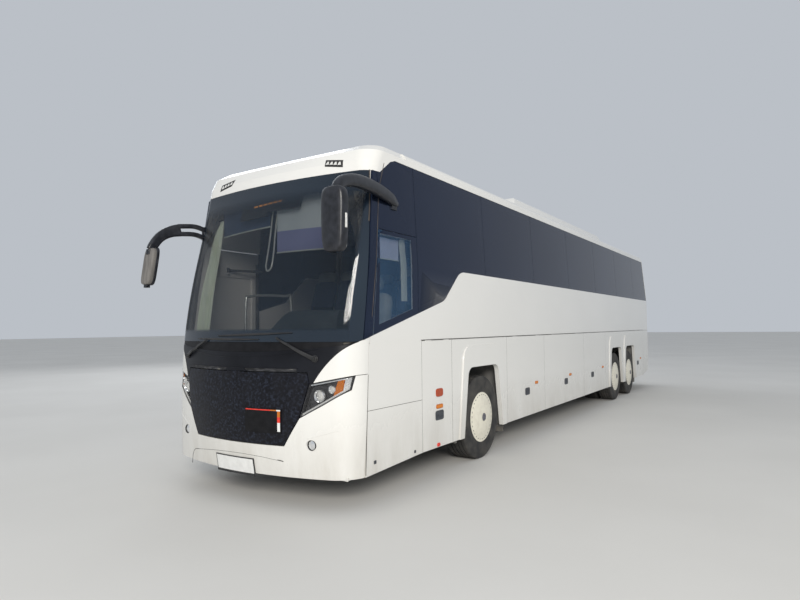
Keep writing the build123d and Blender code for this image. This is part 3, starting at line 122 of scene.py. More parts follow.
# The camera stands where the photographer stood: by the left front corner, a little under eye height,
# turned 33.5 degrees and looking up by under 3 degrees.
CAMERA_AT = (4.5639, -10.6611, 1.6767)
YAW = 0.5855
PITCH = 0.0464
ROLL = -0.0101
LENS_MM = 26.38
SENSOR_MM = 36.0
FARTHEST_SEEN = 400.0
ahead = Vector((-sin(YAW) * cos(PITCH), cos(YAW) * cos(PITCH), sin(PITCH)))
across = Vector((cos(YAW), sin(YAW), 0))
upward = across.cross(ahead)
camera_right = across * cos(ROLL) + upward * sin(ROLL)
camera_up = upward * cos(ROLL) - across * sin(ROLL)
camera_data = bpy.data.cameras.new("photo_camera")
camera_data.lens = LENS_MM
camera_data.sensor_width = SENSOR_MM
camera_data.clip_end = FARTHEST_SEEN
camera = bpy.data.objects.new("photo_camera", camera_data)
scene.collection.objects.link(camera)
turned = Matrix((camera_right, camera_up, -ahead)).transposed().to_4x4()
turned.translation = CAMERA_AT
camera.matrix_world = turned
scene.camera = camera

# Body shell: glued aluminium and glass-fibre panels on a welded tube frame, all sprayed in one slightly
# ivory white. The big panels are a little wavy, and the road leaves a grey-brown film low on the sides.
WHITE = (0.80, 0.79, 0.755)
ROAD_FILM = (0.46, 0.43, 0.37)


def height_fade(tree, low, high):
    """1 at the height low and under it, 0 at the height high and over it, read from Object coordinates."""
    where = tree.nodes.new("ShaderNodeTexCoord")
    parts = tree.nodes.new("ShaderNodeSeparateXYZ")
    fade = tree.nodes.new("ShaderNodeMapRange")
    fade.inputs["From Min"].default_value = high
    fade.inputs["From Max"].default_value = low
    tree.links.new(where.outputs["Object"], parts.inputs["Vector"])
    tree.links.new(parts.outputs["Z"], fade.inputs["Value"])
    return fade.outputs["Result"]


def product(tree, one, other):
    node = tree.nodes.new("ShaderNodeMath")
    node.operation = "MULTIPLY"
    tree.links.new(one, node.inputs[0])
    if isinstance(other, float):
        node.inputs[1].default_value = other
    else:
        tree.links.new(other, node.inputs[1])
    return node.outputs["Value"]


def blended(tree, factor, one, other):
    """Colour one where the factor is 0 and other where it is 1. Each is a colour or a socket."""
    node = tree.nodes.new("ShaderNodeMix")
    node.data_type = "RGBA"
    tree.links.new(factor, node.inputs["Factor"])
    for slot_name, colour in (("A", one), ("B", other)):
        socket = [s for s in node.inputs if s.name == slot_name and s.type == "RGBA"][0]
        if isinstance(colour, tuple):
            socket.default_value = colour if len(colour) == 4 else (*colour, 1)
        else:
            tree.links.new(colour, socket)
    return [s for s in node.outputs if s.type == "RGBA"][0]


def raised(tree, shader, value, strength, distance):
    """A bump from a value: the surface rises by distance, in metres, where the value is 1."""
    bump = tree.nodes.new("ShaderNodeBump")
    bump.inputs["Strength"].default_value = strength
    bump.inputs["Distance"].default_value = distance
    tree.links.new(value, bump.inputs["Height"])
    below = shader.inputs["Normal"].links
    if below:
        tree.links.new(below[0].from_socket, bump.inputs["Normal"])
    tree.links.new(bump.outputs["Normal"], shader.inputs["Normal"])


def sprayed_white(name, film_low=0.25, film_high=0.95, film=0.75):
    """Two-pack white paint: soft gloss, faint waves in the panel, streaks of road film low down."""
    finish, tree, shader = new_finish(name)
    streaks = grain(tree, 3.0, 6.0, (1, 1, 0.25), 0.65)
    patches = ramp(tree, streaks, [(0.35, (0.15, 0.15, 0.15)), (0.75, (1, 1, 1))])
    dirty = product(tree, product(tree, height_fade(tree, film_low, film_high), patches), film)
    shade = ramp(tree, grain(tree, 0.7, 2.0), [(0.3, tuple(c * 0.97 for c in WHITE)), (0.7, WHITE)])
    tree.links.new(blended(tree, dirty, shade, ROAD_FILM), shader.inputs["Base Color"])
    gloss = tree.nodes.new("ShaderNodeMapRange")
    gloss.inputs["To Min"].default_value = 0.24
    gloss.inputs["To Max"].default_value = 0.62
    tree.links.new(dirty, gloss.inputs["Value"])
    tree.links.new(gloss.outputs["Result"], shader.inputs["Roughness"])
    shader.inputs["Coat Weight"].default_value = 0.35
    shader.inputs["Coat Roughness"].default_value = 0.12
    raised(tree, shader, grain(tree, 1.6, 1.0, (1, 1, 0.6)), 0.25, 0.004)
    raised(tree, shader, grain(tree, 900.0, 1.0), 0.05, 0.0002)
    return finish


def refinish(finish, *nodes):
    """A CAD node keeps its shape and takes this finish on every slot."""
    for node in nodes:
        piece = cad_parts[node]
        if not piece.material_slots:
            piece.data.materials.append(finish)
        for material_slot in piece.material_slots:
            material_slot.material = finish


body_white = sprayed_white("body_white_paint")
refinish(body_white, "left_side_panel", "right_side_panel", "roof_shell", "front_cap", "front_corner_panels",
         "front_bumper", "lower_side_panels", "rear_panel", "rear_bumper", "luggage_flap_left_1",
         "luggage_flap_left_2", "luggage_flap_left_3", "luggage_flap_right_1", "luggage_flap_right_2",
         "service_flap_left", "rear_service_door_left", "rear_service_door_right",
         "engine_lid", "front_door", "middle_door", "air_conditioner")

# Glazing: panes glued flush to the frame, tinted nearly black along the sides and the tail. The windscreen
# is a clearer laminated pane with a dark band along its top, foot and sides.
SCREEN_TOP = 3.20
SCREEN_FOOT = 1.58
SCREEN_BAND_X = (1.160, 1.195)
side_tint, tree, shader = mottled_finish("side_glass_tint", 0.5, 2.0, 0.035,
                                         [(0.3, (0.004, 0.007, 0.016)), (0.7, (0.007, 0.012, 0.026))])
shader.inputs["Specular IOR Level"].default_value = 0.42
shader.inputs["Specular Tint"].default_value = (0.35, 0.50, 1.0, 1)
shader.inputs["Alpha"].default_value = 0.93
raised(tree, shader, grain(tree, 0.8, 1.0), 0.3, 0.004)
refinish(side_tint, "left_windows", "right_windows", "rear_window")

screen_glass, tree, shader = mottled_finish("windscreen_glass", 0.9, 2.0, 0.02,
                                            [(0.3, (0.009, 0.016, 0.027)), (0.7, (0.014, 0.024, 0.038))])
shader.inputs["Specular IOR Level"].default_value = 0.5
by_height = ramp(tree, height_fade(tree, SCREEN_TOP, SCREEN_FOOT),
                 [(0.0, (0.96, 0.96, 0.96)), (0.042, (0.94, 0.94, 0.94)),
                  (0.060, (0.36, 0.36, 0.36)), (0.84, (0.36, 0.36, 0.36)),
                  (0.93, (0.93, 0.93, 0.93))])
where = tree.nodes.new("ShaderNodeTexCoord")
parts = tree.nodes.new("ShaderNodeSeparateXYZ")
out_from_middle = tree.nodes.new("ShaderNodeMath")
out_from_middle.operation = "ABSOLUTE"
edge_band = tree.nodes.new("ShaderNodeMapRange")
edge_band.inputs["From Min"].default_value = SCREEN_BAND_X[0]
edge_band.inputs["From Max"].default_value = SCREEN_BAND_X[1]
stronger = tree.nodes.new("ShaderNodeMath")
stronger.operation = "MAXIMUM"
tree.links.new(where.outputs["Object"], parts.inputs["Vector"])
tree.links.new(parts.outputs["X"], out_from_middle.inputs[0])
tree.links.new(out_from_middle.outputs["Value"], edge_band.inputs["Value"])
tree.links.new(edge_band.outputs["Result"], stronger.inputs[0])
tree.links.new(by_height, stronger.inputs[1])
tree.links.new(stronger.outputs["Value"], shader.inputs["Alpha"])
refinish(screen_glass, "windscreen")

# Front mask: glass-fibre lid and wiper panel, both deep black. The lid is hinged along its top edge, and
# its black is dappled with pale-blue specks of painted reflection, the glints of trees mirrored in it.
mask_black, tree, shader = mottled_finish("mask_gloss_black", 4.0, 3.0, 0.40,
                                          [(0.35, (0.004, 0.0045, 0.007)), (0.7, (0.009, 0.010, 0.014))])
shader.inputs["Specular IOR Level"].default_value = 0.22
raised(tree, shader, grain(tree, 2.2, 2.0), 0.25, 0.003)
refinish(mask_black, "wiper_panel")

# The lid's colour: pale-blue specks painted into the black as reflected glints, in dappled patches.
lid_black_painted_glints, tree, shader = new_finish("lid_black_with_painted_glints")
painted_glint_specks = ramp(tree, grain(tree, 38.0, 5.0, rough=0.7),
              [(0.42, (0.003, 0.003, 0.005)), (0.53, (0.008, 0.009, 0.015)),
               (0.60, (0.022, 0.027, 0.042))])
glint_free_patches = ramp(tree, grain(tree, 5.0, 2.0), [(0.35, (0, 0, 0)), (0.65, (1, 1, 1))])
tree.links.new(blended(tree, product(tree, glint_free_patches, 0.55), painted_glint_specks, (0.010, 0.010, 0.013)),
               shader.inputs["Base Color"])
shader.inputs["Roughness"].default_value = 0.42
shader.inputs["Specular IOR Level"].default_value = 0.20
raised(tree, shader, grain(tree, 30.0, 4.0), 0.5, 0.004)
refinish(lid_black_painted_glints, "front_lid")

# Underframe, axles and door arms: welded and forged steel in black chassis paint, dusty from the road. The
# steering knuckles and the engine are bare weathered castings.
chassis_black, tree, shader = mottled_finish("dusty_chassis_paint", 9.0, 5.0, 0.7,
                                             [(0.35, (0.03, 0.03, 0.032)), (0.75, (0.13, 0.12, 0.10))])
raised(tree, shader, grain(tree, 160.0, 2.0), 0.2, 0.001)
refinish(chassis_black, "underframe", "front_frame", "front_axle", "drive_axle", "tag_axle", "track_rod",
         "front_door_arm", "middle_door_arm")

cast_iron, tree, shader = mottled_finish("weathered_cast_iron", 22.0, 5.0, 0.75,
                                         [(0.3, (0.07, 0.065, 0.06)), (0.7, (0.20, 0.15, 0.11))])
shader.inputs["Metallic"].default_value = 0.3
raised(tree, shader, grain(tree, 300.0, 3.0), 0.35, 0.001)
refinish(cast_iron, "knuckle_left", "knuckle_right", "engine")

# Liners: the wheelhouses, the luggage hold and the passenger floor are grey moulded plastic and plywood,
# dull with dust.
liner_grey, tree, shader = mottled_finish("dusty_grey_liner", 5.0, 5.0, 0.8,
                                          [(0.3, (0.13, 0.13, 0.13)), (0.75, (0.25, 0.24, 0.22))])
raised(tree, shader, grain(tree, 240.0, 2.0), 0.25, 0.0015)
refinish(liner_grey, "wheelhouses", "luggage_hold", "passenger_floor")

# Inside trim: dashboard and luggage racks of grey moulded plastic with a fine leather grain, and blue plush
# for the seats. Mirrors and wipers share the satin black plastic of the small parts.
trim_grey, tree, shader = mottled_finish("grained_trim_plastic", 3.0, 2.0, 0.6,
                                         [(0.3, (0.15, 0.15, 0.16)), (0.7, (0.21, 0.21, 0.22))])
raised(tree, shader, grain(tree, 700.0, 2.0), 0.3, 0.0006)
refinish(trim_grey, "dashboard", "luggage_racks")

seat_cloth, tree, shader = mottled_finish("seat_plush", 60.0, 3.0, 0.95,
                                          [(0.35, (0.06, 0.08, 0.17)), (0.7, (0.15, 0.17, 0.27))])
shader.inputs["Sheen Weight"].default_value = 0.4
raised(tree, shader, grain(tree, 900.0, 2.0), 0.4, 0.001)
refinish(seat_cloth, "seats")

satin_black, tree, shader = mottled_finish("satin_black_plastic", 12.0, 3.0, 0.42,
                                           [(0.3, (0.012, 0.012, 0.013)), (0.75, (0.03, 0.03, 0.032))])
raised(tree, shader, grain(tree, 600.0, 2.0), 0.2, 0.0004)
refinish(satin_black, "mirrors", "wipers")

# Tyres: truck radials, 295/80 R22.5, black rubber gone grey with dust. Four grooves run round the tread, and
# the drive axle has two tyres a side.
TYRE_RADIUS = 0.522
TYRE_WIDTH = 0.290
BEAD_RADIUS = 0.286
FRONT_AXLE_Y = -3.785
DRIVE_AXLE_Y = 3.125
TAG_AXLE_Y = 4.475
WHEEL_X = 1.100
TWIN_SPACING = 0.340
TYRE_STEPS = 96

tyre_rubber, tree, shader = mottled_finish("dusty_tyre_rubber", 7.0, 6.0, 0.82,
                                           [(0.35, (0.022, 0.022, 0.023)), (0.75, (0.075, 0.070, 0.062))])
raised(tree, shader, grain(tree, 420.0, 2.0), 0.3, 0.0008)


def finished_piece(name, mesh_maker, finish, body, smooth_angle=35.0):
    """Turns a bmesh into a named piece with its finish, riding on its body. Its mesh is already in place."""
    bmesh.ops.recalc_face_normals(mesh_maker, faces=mesh_maker.faces)
    mesh = bpy.data.meshes.new(name)
    mesh_maker.to_mesh(mesh)
    mesh_maker.free()
    piece = bpy.data.objects.new(name, mesh)
    scene.collection.objects.link(piece)
    mesh.materials.append(finish)
    mesh.shade_smooth()
    mesh.set_sharp_from_angle(angle=radians(smooth_angle))
    if body:
        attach(piece, body)
    return piece


def join_rings(bm, rings, looped=False):
    """Faces from each ring of vertices to the next. The last joins the first, or both ends are capped."""
    following = rings[1:] + rings[:1] if looped else rings[1:]
    for here, there in zip(rings, following):
        count = len(here)
        for k in range(count):
            m = (k + 1) % count
            bm.faces.new((here[k], here[m], there[m], there[k]))
    if not looped:
        bm.faces.new(rings[0])
        bm.faces.new(rings[-1])


def turned_ring(bm, profile, centre, steps):
    """A profile of (distance out along X, radius) turned about the wheel's axis through centre."""
    rings = []
    for i in range(steps):
        a = 2 * pi * i / steps
        rings.append([bm.verts.new((centre[0] + out, centre[1] + r * cos(a), centre[2] + r * sin(a)))
                      for out, r in profile])
    join_rings(bm, rings, looped=True)


def tyre_profile():
    """The tyre's section from bead to bead with its four grooves, as (distance along X, radius)."""
    half = TYRE_WIDTH / 2
    wall = [(-0.118, BEAD_RADIUS), (-0.128, BEAD_RADIUS + 0.012), (-0.136, BEAD_RADIUS + 0.018),
            (-0.139, BEAD_RADIUS + 0.026), (-half, BEAD_RADIUS + 0.105),
            (-half + 0.001, BEAD_RADIUS + 0.125), (-half + 0.004, BEAD_RADIUS + 0.150),
            (-half + 0.003, BEAD_RADIUS + 0.158), (-half + 0.010, TYRE_RADIUS - 0.022),
            (-half + 0.014, TYRE_RADIUS - 0.010), (-half + 0.022, TYRE_RADIUS - 0.002),
            (-half + 0.034, TYRE_RADIUS - 0.0008)]
    tread = []
    for groove in (-0.078, -0.027, 0.027, 0.078):
        for out, depth in ((-0.007, 0), (-0.0045, 0.012), (0.0045, 0.012), (0.007, 0)):
            tread.append((groove + out, TYRE_RADIUS - depth))
    return wall + tread + [(-x, r) for x, r in reversed(wall)]


# Columns: axle, place along the coach, tyres a side.
STATIONS = [("front", FRONT_AXLE_Y, 1), ("drive", DRIVE_AXLE_Y, 2), ("tag", TAG_AXLE_Y, 1)]
for place, axle_y, tyres in STATIONS:
    for side, way in (("left", 1), ("right", -1)):
        bm = bmesh.new()
        for k in range(tyres):
            turned_ring(bm, tyre_profile(),
                        (way * (WHEEL_X - k * TWIN_SPACING), axle_y, TYRE_RADIUS), TYRE_STEPS)
        tyre_piece = finished_piece(f"{place}_{side}_tyre", bm, tyre_rubber, f"{place}_wheel_{side}")
        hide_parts(f"tyre_{place}_{side}")

# Wheels: steel rims behind ivory-painted pressed covers. Each cover rises 4 cm to a flat dark hub cap and
# has a ring of short slots near its rolled lip, laid on as black patches of painted shade. The rim, disc
# and nuts behind it show from the inner side.
COVER_RADIUS = 0.317
COVER_LIP = 0.1335
SLOT_COUNT = 30
SLOT_RADIUS = 0.279
HUB_CAP_RADIUS = 0.050
COVER_STEPS = 72
CAP_STEPS = 40
SHEET_THICK = 0.003
AXIS_HOLE = 0.0012
COVER_PROFILE = [(-0.004, COVER_RADIUS - 0.004), (0.002, COVER_RADIUS), (0.006, COVER_RADIUS - 0.004),
                 (0.0075, COVER_RADIUS - 0.012), (0.006, COVER_RADIUS - 0.024),
                 (0.008, COVER_RADIUS - 0.032), (0.013, COVER_RADIUS - 0.045), (0.022, 0.235),
                 (0.033, 0.175), (0.040, 0.11), (0.043, 0.075), (0.0435, 0.056), (0.0410, 0.052),
                 (0.0395, 0.020), (0.0395, AXIS_HOLE)]
cover_ivory, tree, shader = new_finish("cover_ivory_paint")
splash = ramp(tree, grain(tree, 11.0, 6.0, rough=0.7), [(0.45, (0, 0, 0)), (0.8, (0.55, 0.55, 0.55))])
tree.links.new(blended(tree, splash, (0.80, 0.765, 0.645), (0.50, 0.45, 0.36)), shader.inputs["Base Color"])
shader.inputs["Roughness"].default_value = 0.42
raised(tree, shader, grain(tree, 8.0, 2.0), 0.2, 0.003)
hub_grey, tree, shader = mottled_finish("hub_cap_grey", 40.0, 3.0, 0.5,
                                        [(0.3, (0.10, 0.10, 0.12)), (0.7, (0.18, 0.18, 0.20))])
shader.inputs["Metallic"].default_value = 0.4
rim_steel, tree, shader = mottled_finish("silver_rim_paint", 16.0, 5.0, 0.55,
                                         [(0.3, (0.30, 0.28, 0.25)), (0.75, (0.55, 0.54, 0.51))])
shader.inputs["Metallic"].default_value = 0.5
refinish(rim_steel, *[f"wheel_{place}_{side}" for place in ("front", "drive", "tag")
                      for side in ("left", "right")])
# Black for the cover slots: painted shade, for the dark seen through the openings.
cover_slot_painted_shade, tree, shader = new_finish("cover_slot_shade_black")
shader.inputs["Base Color"].default_value = (0.008, 0.008, 0.008, 1)
shader.inputs["Roughness"].default_value = 0.9


def made_plain(name, base, nodes, input_name, value, source):
    """The plain mesh that a node tree makes on a base with one input set. The copied source is removed."""
    holder = bpy.data.objects.new(name, base)
    scene.collection.objects.link(holder)
    modifier = holder.modifiers.new("copies", "NODES")
    modifier.node_group = nodes
    socket = [s for s in nodes.interface.items_tree if s.name == input_name and s.in_out == "INPUT"][0]
    modifier[socket.identifier] = value
    graph = bpy.context.evaluated_depsgraph_get()
    mesh = bpy.data.meshes.new_from_object(holder.evaluated_get(graph))
    holder.modifiers.remove(modifier)
    holder.data = mesh
    bpy.data.objects.remove(source)
    return holder


def repeated_round(name, source, centre, count, finish):
    """Geometry Nodes: copies of source turned about the X axis through centre, made one plain mesh."""
    nodes = bpy.data.node_groups.new(name + "_tree", "GeometryNodeTree")
    nodes.interface.new_socket("Count", in_out="INPUT", socket_type="NodeSocketInt")
    nodes.interface.new_socket("Geometry", in_out="OUTPUT", socket_type="NodeSocketGeometry")
    given = nodes.nodes.new("NodeGroupInput")
    result = nodes.nodes.new("NodeGroupOutput")
    line = nodes.nodes.new("GeometryNodeMeshLine")
    place = nodes.nodes.new("GeometryNodeInputPosition")
    index = nodes.nodes.new("GeometryNodeInputIndex")
    share = nodes.nodes.new("ShaderNodeMath")
    share.operation = "DIVIDE"
    angle = nodes.nodes.new("ShaderNodeMath")
    angle.operation = "MULTIPLY"
    angle.inputs[1].default_value = 2 * pi
    turn = nodes.nodes.new("ShaderNodeCombineXYZ")
    copies = nodes.nodes.new("GeometryNodeInstanceOnPoints")
    pattern = nodes.nodes.new("GeometryNodeObjectInfo")
    pattern.inputs["Object"].default_value = source
    real = nodes.nodes.new("GeometryNodeRealizeInstances")
    coat = nodes.nodes.new("GeometryNodeSetMaterial")
    coat.inputs["Material"].default_value = finish
    move = nodes.nodes.new("GeometryNodeTransform")
    move.inputs["Translation"].default_value = centre
    line.inputs["Offset"].default_value = (0, 0, 0)
    link = nodes.links.new
    link(given.outputs["Count"], line.inputs["Count"])
    link(index.outputs["Index"], share.inputs[0])
    link(given.outputs["Count"], share.inputs[1])
    link(share.outputs["Value"], angle.inputs[0])
    link(angle.outputs["Value"], turn.inputs["X"])
    link(line.outputs["Mesh"], copies.inputs["Points"])
    link(pattern.outputs["Geometry"], copies.inputs["Instance"])
    link(turn.outputs["Vector"], copies.inputs["Rotation"])
    link(copies.outputs["Instances"], move.inputs["Geometry"])
    link(move.outputs["Geometry"], real.inputs["Geometry"])
    link(real.outputs["Geometry"], coat.inputs["Geometry"])
    link(coat.outputs["Geometry"], result.inputs["Geometry"])
    return made_plain(name, bpy.data.meshes.new(name + "_base"), nodes, "Count", count, source)


def box_into(bm, low, high):
    """A box between two corners, added to a bmesh."""
    made = bmesh.ops.create_cube(bm, size=1.0)
    size = Vector(high) - Vector(low)
    middle = (Vector(high) + Vector(low)) / 2
    for v in made["verts"]:
        v.co = Vector((v.co.x * size.x, v.co.y * size.y, v.co.z * size.z)) + middle


for place, axle_y, tyres in STATIONS:
    for side, way in (("left", 1), ("right", -1)):
        body = f"{place}_wheel_{side}"
        centre = (way * WHEEL_X, axle_y, TYRE_RADIUS)
        profile = COVER_PROFILE + [(out - SHEET_THICK, r) for out, r in reversed(COVER_PROFILE)]
        bm = bmesh.new()
        turned_ring(bm, [(way * (COVER_LIP + out), max(r, AXIS_HOLE)) for out, r in profile],
                    centre, COVER_STEPS)
        cover = finished_piece(f"{place}_{side}_wheel_cover", bm, cover_ivory, body, 40.0)
        bm = bmesh.new()
        cap = [(0.0415, 0.0005), (0.0485, 0.0005), (0.0495, 0.030), (0.0485, 0.044), (0.042, HUB_CAP_RADIUS),
               (0.0405, HUB_CAP_RADIUS)]
        turned_ring(bm, [(way * (COVER_LIP + out), r) for out, r in cap], centre, CAP_STEPS)
        hub = finished_piece(f"{place}_{side}_hub_cap", bm, hub_grey, body)
        bm = bmesh.new()
        start = COVER_LIP + 0.0085
        box_into(bm, (way * (start - 0.002), -0.0125, SLOT_RADIUS - 0.0036),
                 (way * (start + 0.0024), 0.0125, SLOT_RADIUS + 0.0036))
        slot_source = finished_piece("slot_source", bm, cover_slot_painted_shade, None)
        slots = repeated_round(f"{place}_{side}_cover_slots", slot_source, centre, SLOT_COUNT, cover_slot_painted_shade)
        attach(slots, body)

# Headlights: one clear moulded lens each, bonded over a black bowl with two projectors, an amber indicator
# segment and a silver band round the edge, with a row of small lamps in its lower run. A round fog lamp in a
# rubber ring is let into the bumper below.
LAMP_LOW = [(0.786, 0.853), (0.900, 0.919), (1.008, 0.981), (1.110, 1.044), (1.165, 1.080), (1.212, 1.112)]
LAMP_TOP = [(0.873, 1.1605), (0.960, 1.178), (1.050, 1.196), (1.120, 1.211), (1.180, 1.223), (1.231, 1.233)]
# Columns: middle (x, z) in the front view, radius.
PROJECTORS = (((0.950, 1.052), 0.056), ((1.063, 1.113), 0.036))
PROJECTOR_DEPTH = 0.045
SMALL_LAMPS = 26
SMALL_LAMP_STEP = 0.037
FOG_LAMP = (0.887, 0.605)


def skin_of(*nodes):
    """A tree of the named CAD nodes' faces, to find where the skin lies."""
    points, faces = [], []
    for node in nodes:
        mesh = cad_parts[node].data
        base = len(points)
        points += [v.co.copy() for v in mesh.vertices]
        faces += [tuple(base + i for i in face.vertices) for face in mesh.polygons]
    return BVHTree.FromPolygons(points, faces)


nose_skin = skin_of("headlights", "front_bumper", "front_lid", "wiper_panel",
                    "front_corner_panels", "windscreen", "front_cap")


def nose_y(x, z):
    """Where the nose's outside lies along Y at this place in the front view."""
    for dx, dz in ((0, 0), (0.006, 0), (-0.006, 0), (0, 0.006), (0, -0.006), (0.008, 0.008),
                   (-0.008, -0.008)):
        hit = nose_skin.ray_cast(Vector((x + dx, -12.0, z + dz)), Vector((0, 1, 0)))[0]
        if hit and hit.y < -5.0:
            return hit.y
    found = []
    for step in (0.010, -0.010):
        for k in range(1, 12):
            hit = nose_skin.ray_cast(Vector((x, -12.0, z + step * k)), Vector((0, 1, 0)))[0]
            if hit and hit.y < -5.0:
                found.append(hit.y)
                break
    return sum(found) / len(found) if found else -6.3


def along(line, share):
    """The point at this share of a line of (x, z) points, counted by length."""
    lengths = [(Vector(b) - Vector(a)).length for a, b in zip(line, line[1:])]
    left = share * sum(lengths)
    for (a, b), length in zip(zip(line, line[1:]), lengths):
        if left <= length + 1e-9:
            return Vector(a).lerp(Vector(b), left / length)
        left -= length
    return Vector(line[-1])


def close_sheet(bm, front, back):
    """The faces of two like grids of vertices and of the narrow edge between them."""
    rows, columns = len(front) - 1, len(front[0]) - 1
    for grid in (front, back):
        for j in range(rows):
            for i in range(columns):
                bm.faces.new((grid[j][i], grid[j][i + 1], grid[j + 1][i + 1], grid[j + 1][i]))
    edge = ([(0, i) for i in range(columns)] + [(j, columns) for j in range(rows)]
            + [(rows, i) for i in range(columns, 0, -1)] + [(j, 0) for j in range(rows, 0, -1)])
    for (j, i), (k, m) in zip(edge, edge[1:] + edge[:1]):
        bm.faces.new((front[j][i], front[k][m], back[k][m], back[j][i]))


def skin_patch(bm, low, high, columns, rows, depth, thickness, way=1, where=nose_y):
    """A closed sheet that follows the nose between two front-view lines, set in by depth."""
    layers = []
    for extra in (0.0, thickness):
        grid = []
        for j in range(rows + 1):
            row = []
            for i in range(columns + 1):
                p = along(low, i / columns).lerp(along(high, i / columns), j / rows)
                row.append(bm.verts.new((way * p.x, where(p.x, p.y) + depth + extra, p.y)))
            grid.append(row)
        layers.append(grid)
    close_sheet(bm, *layers)


def turned_forward(bm, profile, centre, steps=40):
    """A closed profile of (distance ahead, radius) turned about a line along Y through centre."""
    rings = []
    for i in range(steps):
        a = 2 * pi * i / steps
        rings.append([bm.verts.new((centre[0] + r * cos(a), centre[1] - out, centre[2] + r * sin(a)))
                      for out, r in profile])
    join_rings(bm, rings, looped=True)


def repeated_at(name, source, places, finish):
    """Geometry Nodes: one copy of source at each place, made one plain mesh."""
    nodes = bpy.data.node_groups.new(name + "_tree", "GeometryNodeTree")
    nodes.interface.new_socket("Geometry", in_out="INPUT", socket_type="NodeSocketGeometry")
    nodes.interface.new_socket("Size", in_out="INPUT", socket_type="NodeSocketFloat")
    nodes.interface.new_socket("Geometry", in_out="OUTPUT", socket_type="NodeSocketGeometry")
    given = nodes.nodes.new("NodeGroupInput")
    result = nodes.nodes.new("NodeGroupOutput")
    copies = nodes.nodes.new("GeometryNodeInstanceOnPoints")
    pattern = nodes.nodes.new("GeometryNodeObjectInfo")
    pattern.inputs["Object"].default_value = source
    real = nodes.nodes.new("GeometryNodeRealizeInstances")
    coat = nodes.nodes.new("GeometryNodeSetMaterial")
    coat.inputs["Material"].default_value = finish
    nodes.links.new(given.outputs["Geometry"], copies.inputs["Points"])
    nodes.links.new(given.outputs["Size"], copies.inputs["Scale"])
    nodes.links.new(pattern.outputs["Geometry"], copies.inputs["Instance"])
    nodes.links.new(copies.outputs["Instances"], real.inputs["Geometry"])
    nodes.links.new(real.outputs["Geometry"], coat.inputs["Geometry"])
    nodes.links.new(coat.outputs["Geometry"], result.inputs["Geometry"])
    base = bpy.data.meshes.new(name + "_places")
    base.from_pydata([tuple(p) for p in places], [], [])
    return made_plain(name, base, nodes, "Size", 1.0, source)


lamp_clear, tree, shader = mottled_finish("clear_lamp_lens", 12.0, 2.0, 0.04,
                                          [(0.3, (0.03, 0.032, 0.034)), (0.7, (0.06, 0.062, 0.065))])
shader.inputs["Specular IOR Level"].default_value = 0.6
shader.inputs["Alpha"].default_value = 0.10
lamp_silver, tree, shader = new_finish("silvered_reflector")
shader.inputs["Base Color"].default_value = (0.86, 0.87, 0.88, 1)
shader.inputs["Metallic"].default_value = 0.85
shader.inputs["Roughness"].default_value = 0.16
raised(tree, shader, grain(tree, 130.0, 1.0), 0.25, 0.002)
lamp_bowl, tree, shader = mottled_finish("lamp_bowl_black", 30.0, 2.0, 0.35,
                                         [(0.3, (0.018, 0.018, 0.02)), (0.7, (0.05, 0.05, 0.055))])
amber_lens, tree, shader = new_finish("amber_segment")
flutes = tree.nodes.new("ShaderNodeTexWave")
flutes.inputs["Scale"].default_value = 60.0
flutes.inputs["Distortion"].default_value = 1.5
place_of = tree.nodes.new("ShaderNodeTexCoord")
tree.links.new(place_of.outputs["Object"], flutes.inputs["Vector"])
tree.links.new(ramp(tree, flutes.outputs["Fac"], [(0.1, (0.34, 0.075, 0.004)), (0.9, (0.70, 0.21, 0.012))]),
               shader.inputs["Base Color"])
shader.inputs["Roughness"].default_value = 0.2
raised(tree, shader, flutes.outputs["Fac"], 0.4, 0.0015)
lamp_white, tree, shader = mottled_finish("small_lamp_white", 70.0, 2.0, 0.15,
                                          [(0.3, (0.55, 0.55, 0.54)), (0.7, (0.84, 0.83, 0.79))])
gasket_black, tree, shader = mottled_finish("gasket_rubber", 25.0, 3.0, 0.65,
                                            [(0.3, (0.010, 0.010, 0.010)), (0.7, (0.028, 0.027, 0.026))])


def shifted(line, dx, dz):
    return [(x + dx, z + dz) for x, z in line]


